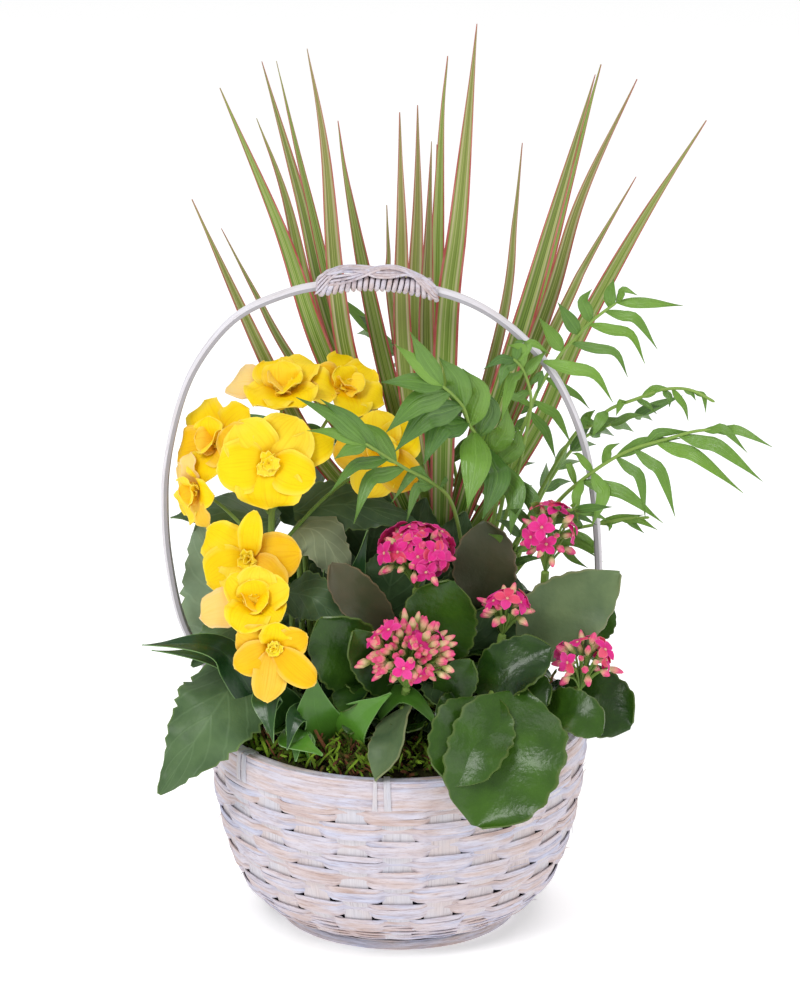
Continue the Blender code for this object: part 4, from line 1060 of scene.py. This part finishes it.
def bloom(number, middle, radius, axis, petals, heart):
    """A begonia flower: broad, gently waved petals round a small crumpled heart."""
    right = unit(np.cross((0, 0, 1), axis))
    upward = np.cross(axis, right)
    flower = Bunch()
    for at, (angle, reach, wide, tilt, finish) in enumerate(petals + heart):
        inner = at >= len(petals)
        a = math.radians(angle + rng.uniform(-5, 5) * (4 if inner else 1))
        way = right * math.cos(a) + upward * math.sin(a)
        lean = math.radians(tilt + rng.uniform(-3, 3) * (5 if inner else 1))
        length = radius * reach * (rng.uniform(0.75, 1.35) if inner else 1)
        out = (way * math.cos(lean) + axis * math.sin(lean)) * length
        back = axis * math.cos(lean) - way * math.sin(lean)
        curl = rng.uniform(0.0, 0.25) if inner else rng.uniform(-0.14, -0.02)
        if inner:
            foot = middle + way * 0.4 + axis * 0.4
        else:
            foot = middle + way * 0.5 - axis * (3.0 - 0.32 * min(at, 6))
        spine = [foot, foot + out * 0.33 + back * length * 0.10, foot + out * 0.7 + back * length * 0.12,
                 foot + out + back * length * (0.06 + curl)]
        flower.leaf(small_petal if inner else petal, spine, radius * wide, ROUND, back,
                    cup=rng.uniform(0.02, 0.16), wave=0.34 if inner else 0.12, waves=rng.uniform(1.5, 3.0),
                    phase=rng.uniform(0, 6), ease=True, tone=rng.random(), finish=finish)
    flower.made(f"begonia_bloom_{number}", [YELLOW, AMBER, PEACH, HEART_YELLOW], "begonia_petal", 0.45,
                stands_for=(f"begonia_flower_{number}",))


stems = Bunch()
stems.tube(long_rod, MAIN_STEM, 2.6, taper=0.7, ends=0.004, tone=0.4)
for n, ((centre, radius, face, petals), (start, bends)) in enumerate(zip(FLOWERS, TWIGS)):
    middle, axis = np.array(centre, float), unit(np.array(face, float))
    if n in OPEN_FLOWERS:
        bloom(n + 1, middle, radius, axis, petals, OPEN_HEART)
    else:
        bloom(n + 1, middle, radius, axis, petals + CLOSED_RING, OPEN_HEART[:3])
    fork, _ = along(MAIN_STEM, np.array([start]))
    stems.tube(rod, [fork[0], *bends, middle - axis * 2.5], 1.3, taper=0.7, tone=rng.random())
stems.made("begonia_stems", [STALK], "begonia_leaf", merge=True, stands_for=("begonia_stem",))

broad = sheet(18, 26)
BEGONIA_BLADES = [  # stalk foot, blade points, width, facing, finish
    ((-82, -46), [(-95, -56, 170), (-112, -80, 150), (-141, -92, 108)], 54, (-0.25, -0.95, 0.3),
     BEGONIA_LEAF),
    ((-84, 10), [(-86, 12, 168), (-104, 15, 200), (-122, 18, 240)], 70, (0.1, -1, 0.1), BEGONIA_PALE),
    ((-56, -6), [(-60, -8, 246), (-45, -18, 244), (-28, -26, 212)], 32, (0.1, -0.7, 0.7), BEGONIA_UNDER),
    ((-66, 8), [(-78, 10, 246), (-110, 18, 250), (-138, 24, 242)], 30, (0, -0.6, 0.8), BEGONIA_LEAF),
    ((-50, 10), [(-58, 0, 254), (-29, 0, 258), (12, 0, 247)], 34, (0, -0.75, 0.6), BEGONIA_LEAF),
    ((-60, -30), [(-64, -34, 214), (-48, -48, 214), (-30, -54, 196)], 30, (0.1, -0.9, 0.4), BEGONIA_LEAF),
    ((-76, -34), [(-84, -40, 196), (-104, -56, 196), (-122, -64, 178)], 32, (-0.2, -0.9, 0.4), BEGONIA_LEAF),
    ((-70, 30), [(-78, 36, 220), (-96, 60, 240), (-120, 84, 222)], 48, (-0.2, 0.8, 0.6), BEGONIA_LEAF),
    ((-56, 44), [(-58, 54, 240), (-62, 84, 262), (-66, 112, 240)], 50, (0, 0.8, 0.6), BEGONIA_LEAF),
    ((-40, 40), [(-34, 46, 230), (-20, 70, 240), (-6, 96, 214)], 44, (0.2, 0.8, 0.6), BEGONIA_LEAF),
    ((-80, 22), [(-92, 34, 190), (-116, 62, 186), (-132, 84, 160)], 46, (-0.5, 0.6, 0.6), BEGONIA_LEAF),
]
PACKED_BLADES = 3
for n, (foot, (start, *places), width, face, finish) in enumerate(BEGONIA_BLADES):
    plant = Bunch()
    plant.tube(rod, [(*foot, SOIL_LEVEL), (*foot, 120), start], 1.7, taper=0.8, ends=0.02, tone=0.4, finish=1)
    start = np.array(start, float)
    behind = start - (np.array(places[0], float) - start) * 0.16
    plant.leaf(broad, [behind, start, *places], width, HEART, face, fold=-0.10, cup=-0.16, wave=0.12,
               waves=3.2, teeth=0.16, tooth_count=15, phase=n, tone=0.25 + 0.5 * rng.random())
    plant.made(f"begonia_blade_{n + 1:02d}", [finish, STALK], "begonia_leaf", 0.7,
               stands_for=(f"begonia_leaf_{n + 1}",) if n < PACKED_BLADES else ())

# Kalanchoes
KALANCHOES = [  # foot, stem top, head centre, its radii, share open, florets,
    # then blades: points, width, facing, finish
    ((12, -34), (11, -37, 218), (11, -37, 239), (23, 18), 0.66, 54, [
        ([(18, -45, 172), (24, -52, 202), (31, -52, 228)], 46, (0, -1, 0.2), 0),
        ([(-11, -60, 163), (-29, -75, 190), (-46, -80, 214)], 44, (0.1, -1, 0.1), 0),
        ([(-4, -40, 190), (-22, -48, 214), (-40, -46, 236)], 26, (0.1, -1, 0.2), 2)]),
    ((2, -58), (5, -84, 172), (6, -86, 194), (27, 21), 0.05, 150, [
        ([(4, -78, 159), (-4, -105, 148), (-13, -116, 126)], 28, (-0.65, -0.7, 0.3), 1),
        ([(25, -75, 159), (34, -85, 175), (43, -85, 190)], 24, (0, -0.9, 0.4), 0),
        ([(1, -65, 162), (-16, -85, 191), (-26, -90, 210)], 28, (0.2, -1, 0.2), 0)]),
    ((54, -50), (62, -52, 194), (64, -53, 210), (16, 14), 0.30, 22, [
        ([(72, -82, 170), (64, -114, 146), (46, -132, 104)], 68, (0, -0.9, 0.45), 0),
        ([(56, -88, 168), (42, -114, 150), (31, -128, 128)], 48, (-0.1, -0.9, 0.45), 0),
        ([(50, -80, 160), (36, -92, 158), (22, -98, 156)], 30, (0, -0.7, 0.7), 0),
        ([(44, -68, 166), (64, -74, 179), (90, -72, 193)], 34, (0, -0.75, 0.65), 0),
        ([(64, -60, 161), (76, -75, 168), (88, -82, 160)], 26, (0, -0.7, 0.7), 0)]),
    ((82, -46), (108, -62, 163), (111, -64, 181), (18, 16), 0.42, 26, [
        ([(92, -40, 150), (115, -52, 151), (139, -62, 140)], 42, (0, -0.85, 0.55), 0),
        ([(84, -62, 150), (104, -84, 156), (120, -92, 146)], 28, (0, -0.8, 0.6), 0)]),
    ((84, -12), (88, -24, 224), (90, -26, 246), (17, 22), 0.36, 24, [
        ([(74, -36, 176), (98, -38, 200), (132, -40, 228)], 48, (-0.1, -1, 0.3), 1),
        ([(52, 4, 190), (52, -2, 218), (53, -2, 248)], 38, (0, -1, 0.1), 2),
        ([(104, 6, 170), (119, 10, 182), (129, 10, 192)], 28, (0.2, -1, 0.2), 0)]),
]
GOLDEN_TURN = 2.39996
tiny = sheet(4, 6)


def flower_head(number, fork, middle, wide, high, share, count):
    """A kalanchoe truss: branching green stalks, tubular buds and open four-petalled florets."""
    head = Bunch()
    for i in range(count):
        level = 1 - (i + 0.5) / count * 1.72
        a = GOLDEN_TURN * i + rng.uniform(-0.2, 0.2)
        flat = math.sqrt(max(0.0, 1 - level * level))
        way = unit(np.array([math.cos(a) * flat, math.sin(a) * flat - 0.12, level + 0.1]))
        spot = middle + way * np.array([wide, wide, high]) * rng.uniform(0.66, 1.03)
        half = fork * 0.35 + middle * 0.25 + spot * 0.40
        head.tube(bead, [fork, half, spot - way * 4], 0.6, ends=0.04, tone=rng.uniform(0, 0.5), finish=3)
        if rng.random() < share * (1.2 if level > -0.15 else 0.3):
            right = unit(np.cross(way, np.array([0.3, 0.2, 1.0])))
            upward = np.cross(right, way)
            spin, size = rng.uniform(0, 1.57), rng.uniform(7.4, 8.8)
            head.tube(bead, [spot - way * 7, spot - way * 3, spot + way * 0.3], 1.5, ends=0.3, tone=0.35,
                      finish=1)
            for k in range(4):
                b = spin + k * math.pi / 2
                out = (right * math.cos(b) + upward * math.sin(b)) * size
                spine = [spot, spot + out * 0.5 + way * 0.5, spot + out - way * rng.uniform(-0.3, 1.3)]
                head.leaf(tiny, spine, size * 0.80, FLORET, way, fold=0.18, cup=0.05, ease=True,
                          tone=rng.random(), finish=0 if rng.random() < 0.8 else 2)
            head.tube(bead, [spot - way * 0.4, spot + way * 0.3, spot + way * 1.1], 0.85, ends=0.4, tone=0.0,
                      finish=1)
        else:
            size = rng.uniform(8.0, 11.0)
            head.tube(bead, [spot - way * 5, spot, spot + way * (size - 5)], rng.uniform(1.7, 2.5), ends=0.5,
                      tone=rng.random(), finish=1)
    head.made(f"kalanchoe_truss_{number}", [PINK, BUD, ROSE, STALK], "kalanchoe_petal", 0.22,
              stands_for=(f"kalanchoe_head_{number}",))


round_leaf = sheet(12, 48)
for n, (foot, top, middle, (wide, high), share, count, blades) in enumerate(KALANCHOES):
    plant = Bunch()
    stem = [(*foot, SOIL_LEVEL), (*foot, 108), (*foot, 147), top]
    plant.tube(long_rod, stem, 2.4, taper=0.8, ends=0.004, tone=0.5, finish=3)
    up_stem, _ = along(stem, np.linspace(0, 1, 60))
    for points, width, face, finish in blades:
        first = np.array(points[0], float)
        joint = up_stem[np.argmin(np.abs(up_stem[:, 2] - (first[2] - 8)))]
        stalk = [joint, (joint + first) / 2 + (0, 0, 2), first + 0.12 * (np.array(points[1]) - first)]
        plant.tube(rod, stalk, 1.5, tone=0.6, finish=3)
        plant.leaf(round_leaf, points, width, OVATE if finish == 1 else ROUND, face, fold=0.10, cup=0.16,
                   wave=0.10, waves=1.9, teeth=0.09, tooth_count=8, phase=rng.uniform(0, 6), ease=True,
                   tone=rng.uniform(0.1, 0.9), finish=finish)
    plant.made(f"kalanchoe_plant_{n + 1}", [KALANCHOE_LEAF, KALANCHOE_GREY, KALANCHOE_BROWN, STALK],
               "kalanchoe_leaf", 1.1, stands_for=(f"kalanchoe_stem_{n + 1}",))
    flower_head(n + 1, np.array(top, float), np.array(middle, float), wide, high, share, count)

# Compact dark dracaenas
ROSETTES = [  # foot, blades: points, width, facing
    ((-62, -56), [
        ([(-82, -62, 155), (-106, -80, 195), (-149, -98, 204)], 22, (-0.3, -0.7, 0.7)),
        ([(-80, -55, 150), (-104, -62, 180), (-145, -74, 192)], 16, (0, -0.6, 0.8)),
        ([(-59, -60, 136), (-77, -80, 164), (-73, -98, 143)], 26, (-0.2, -0.8, 0.6)),
        ([(-47, -60, 132), (-59, -90, 157), (-65, -102, 140)], 24, (-0.1, -0.8, 0.6)),
        ([(-66, -50, 140), (-84, -40, 170), (-104, -38, 190)], 16, (0.2, -0.9, 0.4))]),
    ((-34, -52), [
        ([(-40, -66, 126), (-48, -82, 152), (-50, -88, 184)], 36, (0.25, -1, 0.3)),
        ([(-32, -64, 126), (-26, -86, 152), (-4, -92, 172)], 30, (-0.35, -0.9, 0.3)),
        ([(-50, -70, 126), (-60, -92, 142), (-44, -110, 140)], 30, (-0.2, -0.7, 0.7)),
        ([(-38, -40, 148), (-29, -35, 203), (-18, -30, 252)], 22, (0.2, -1, 0.1)),
        ([(-42, -35, 146), (-44, -35, 197), (-44, -32, 228)], 12, (0.1, -1, 0.1)),
        ([(-23, -55, 140), (4, -80, 166), (28, -97, 148)], 17, (0, -0.8, 0.6)),
        ([(-44, -62, 128), (-58, -88, 148), (-60, -100, 132)], 30, (0, -0.8, 0.6))]),
]
slim = sheet(8, 30)
for n, (foot, blades) in enumerate(ROSETTES):
    plant = Bunch()
    plant.tube(rod, [(*foot, SOIL_LEVEL), (*foot, 120), (*foot, 158)], 2.6, tone=0.3)
    for points, width, face in blades:
        # Painted light: the second rosette's leaves that reach furthest to the front take lighter tones, as
        # lit leaves; the others stay dark.
        lit_front_leaf = n == 1 and points[-1][1] < -80
        plant.leaf(slim, [(*foot, points[0][2] - 10), *points], width, LANCE, face, fold=0.22, cup=-0.1,
                   wave=0.05, waves=1.5, turn=rng.uniform(-0.3, 0.3),
                   tone=rng.uniform(0.45, 0.85) if lit_front_leaf else rng.uniform(0.0, 0.3))
    plant.made(f"compact_rosette_{n + 1}", [COMPACT_LEAF], "compact_leaf", 0.6,
               stands_for=(f"compact_dracaena_{n + 1}",))

# Low undergrowth that closes the planting between and behind the taller stems
FILL = [  # leaf foot, tip, width
    ((-8, 6, 186), (0, 2, 238), 46), ((12, 12, 180), (26, 6, 228), 44), ((30, 8, 176), (42, 2, 222), 42),
    ((6, -4, 160), (22, -12, 198), 40), ((40, -4, 160), (54, -12, 198), 40),
    ((-24, 0, 166), (-14, -8, 206), 40), ((60, 6, 172), (70, 2, 214), 40),
    ((-40, 12, 190), (-34, 8, 232), 44), ((-20, 22, 212), (-8, 18, 262), 52),
    ((4, 22, 204), (16, 20, 256), 48), ((28, 20, 200), (40, 18, 248), 44),
    ((-52, 24, 200), (-44, 20, 254), 48)]
LOW_LEAVES = 150
plain_leaf = sheet(6, 24)
under = Bunch()
for n, (base, tip, width) in enumerate(FILL):
    base, tip = np.array(base, float), np.array(tip, float)
    under.tube(bead, [(base[0], base[1], 118), base], 1.4, ends=0.05, tone=0.3, finish=2)
    under.leaf(broad, [base, (base + tip) / 2 + (0, -5, 0), tip], width, HEART, (0.1 * (n % 3 - 1), -1, 0.3),
               fold=-0.1, cup=-0.16, wave=0.1, teeth=0.14, tooth_count=13, phase=n, tone=0.35 * rng.random(),
               finish=1)
for n in range(LOW_LEAVES):
    a = rng.uniform(0, FULL_TURN)
    behind = math.sin(a) > 0.0
    r = rng.uniform(38, 88)
    high = rng.uniform(138, 206 if behind else 176) - 0.25 * max(0, r - 60)
    if not behind:
        r, high = r * 0.82, min(high, 168)
    x, y = r * math.cos(a), r * math.sin(a)
    out = np.array([math.cos(a + rng.uniform(-0.6, 0.6)), math.sin(a + rng.uniform(-0.6, 0.6)), 0.0])
    base = np.array([x, y, high - 6])
    length = rng.uniform(26, 44) * (1.15 if behind else 0.85)
    tip = base + out * length * 0.85 + np.array([0, 0, rng.uniform(-16, 14)])
    base[2], tip[2] = max(base[2], 134.0), max(tip[2], 140.0)
    middle = (base + tip) / 2 + np.array([0, 0, rng.uniform(4, 10)])
    stalk = [(x * 0.8, y * 0.8, 118), (x * 0.95, y * 0.95, high - 26), base]
    under.tube(bead, stalk, 1.2, ends=0.05, tone=0.0)
    face = out * rng.uniform(0.3, 0.9) + np.array([0, 0, 0.7])
    under.leaf(plain_leaf, [base, middle, tip], length * rng.uniform(0.62, 0.82), ROUND, face, fold=0.06,
               cup=0.08, wave=0.06, waves=2.1, teeth=0.12, tooth_count=7, phase=rng.uniform(0, 6), ease=True,
               tone=0.6 * rng.random(), finish=rng.choice((0, 0, 0, 1)))
under.made("leafy_undergrowth", [KALANCHOE_LEAF, BEGONIA_LEAF, STALK], "kalanchoe_leaf", 0.9)

# ------------------------------------------- the imported parts that still show

# The bowl behind the weave takes the painted gap shade.
for node, finish in (("basket_bowl", GAP_SHADE), ("foot_hoop", SPLINT_ROUND), ("pot_liner", LINER),
                     ("potting_soil", SOIL)):
    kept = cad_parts[node]
    kept.data.materials.clear()
    kept.data.materials.append(finish)

# ------------------------------------------------- floor, light and camera

drop_selection()
bpy.ops.mesh.primitive_plane_add(size=14, location=(0, 0, -0.0002))
floor = bpy.context.object
floor.name = "studio_floor"
white = Finish("studio_white", 0.9, 0.1)
white.feed(white.shader, {"Base Color": (0.95, 0.95, 0.95, 1), "Emission Color": (1, 1, 1, 1),
                          "Emission Strength": 0.36})
floor.data.materials.append(white.mat)

world = bpy.data.worlds.new("studio")
bpy.context.scene.world = world
world.use_nodes = True
backdrop = world.node_tree.nodes["Background"]
backdrop.inputs["Color"].default_value = (1.0, 1.0, 1.0, 1)
backdrop.inputs["Strength"].default_value = 0.60
bpy.context.scene.view_settings.view_transform = "Standard"

AIM = Vector((0.0012, 0.0, 0.261))


def studio_object(name, data, place):
    """Stands a light or the camera at its place, turned to the basket."""
    obj = bpy.data.objects.new(name, data)
    bpy.context.scene.collection.objects.link(obj)
    obj.location = place
    obj.rotation_euler = (AIM - Vector(place)).to_track_quat("-Z", "Y").to_euler()
    return obj


for name, place, size, power in (("key_soft_box", (-1.1, -1.5, 1.9), 0.9, 26),
                                 ("fill_soft_box", (1.6, -1.2, 0.9), 1.2, 7),
                                 ("top_soft_box", (0.2, 0.7, 1.9), 1.2, 8)):
    light = bpy.data.lights.new(name, "AREA")
    light.shape, light.size, light.energy = "SQUARE", size, power
    studio_object(name, light, place)

CAMERA_RISE = math.radians(18.0)
CAMERA_DISTANCE = 2.6
camera = bpy.data.cameras.new("front_camera")
camera.lens, camera.sensor_width = 156.0, 36.0
away = Vector((0, -math.cos(CAMERA_RISE), math.sin(CAMERA_RISE))) * CAMERA_DISTANCE
bpy.context.scene.camera = studio_object("front_camera", camera, AIM + away)
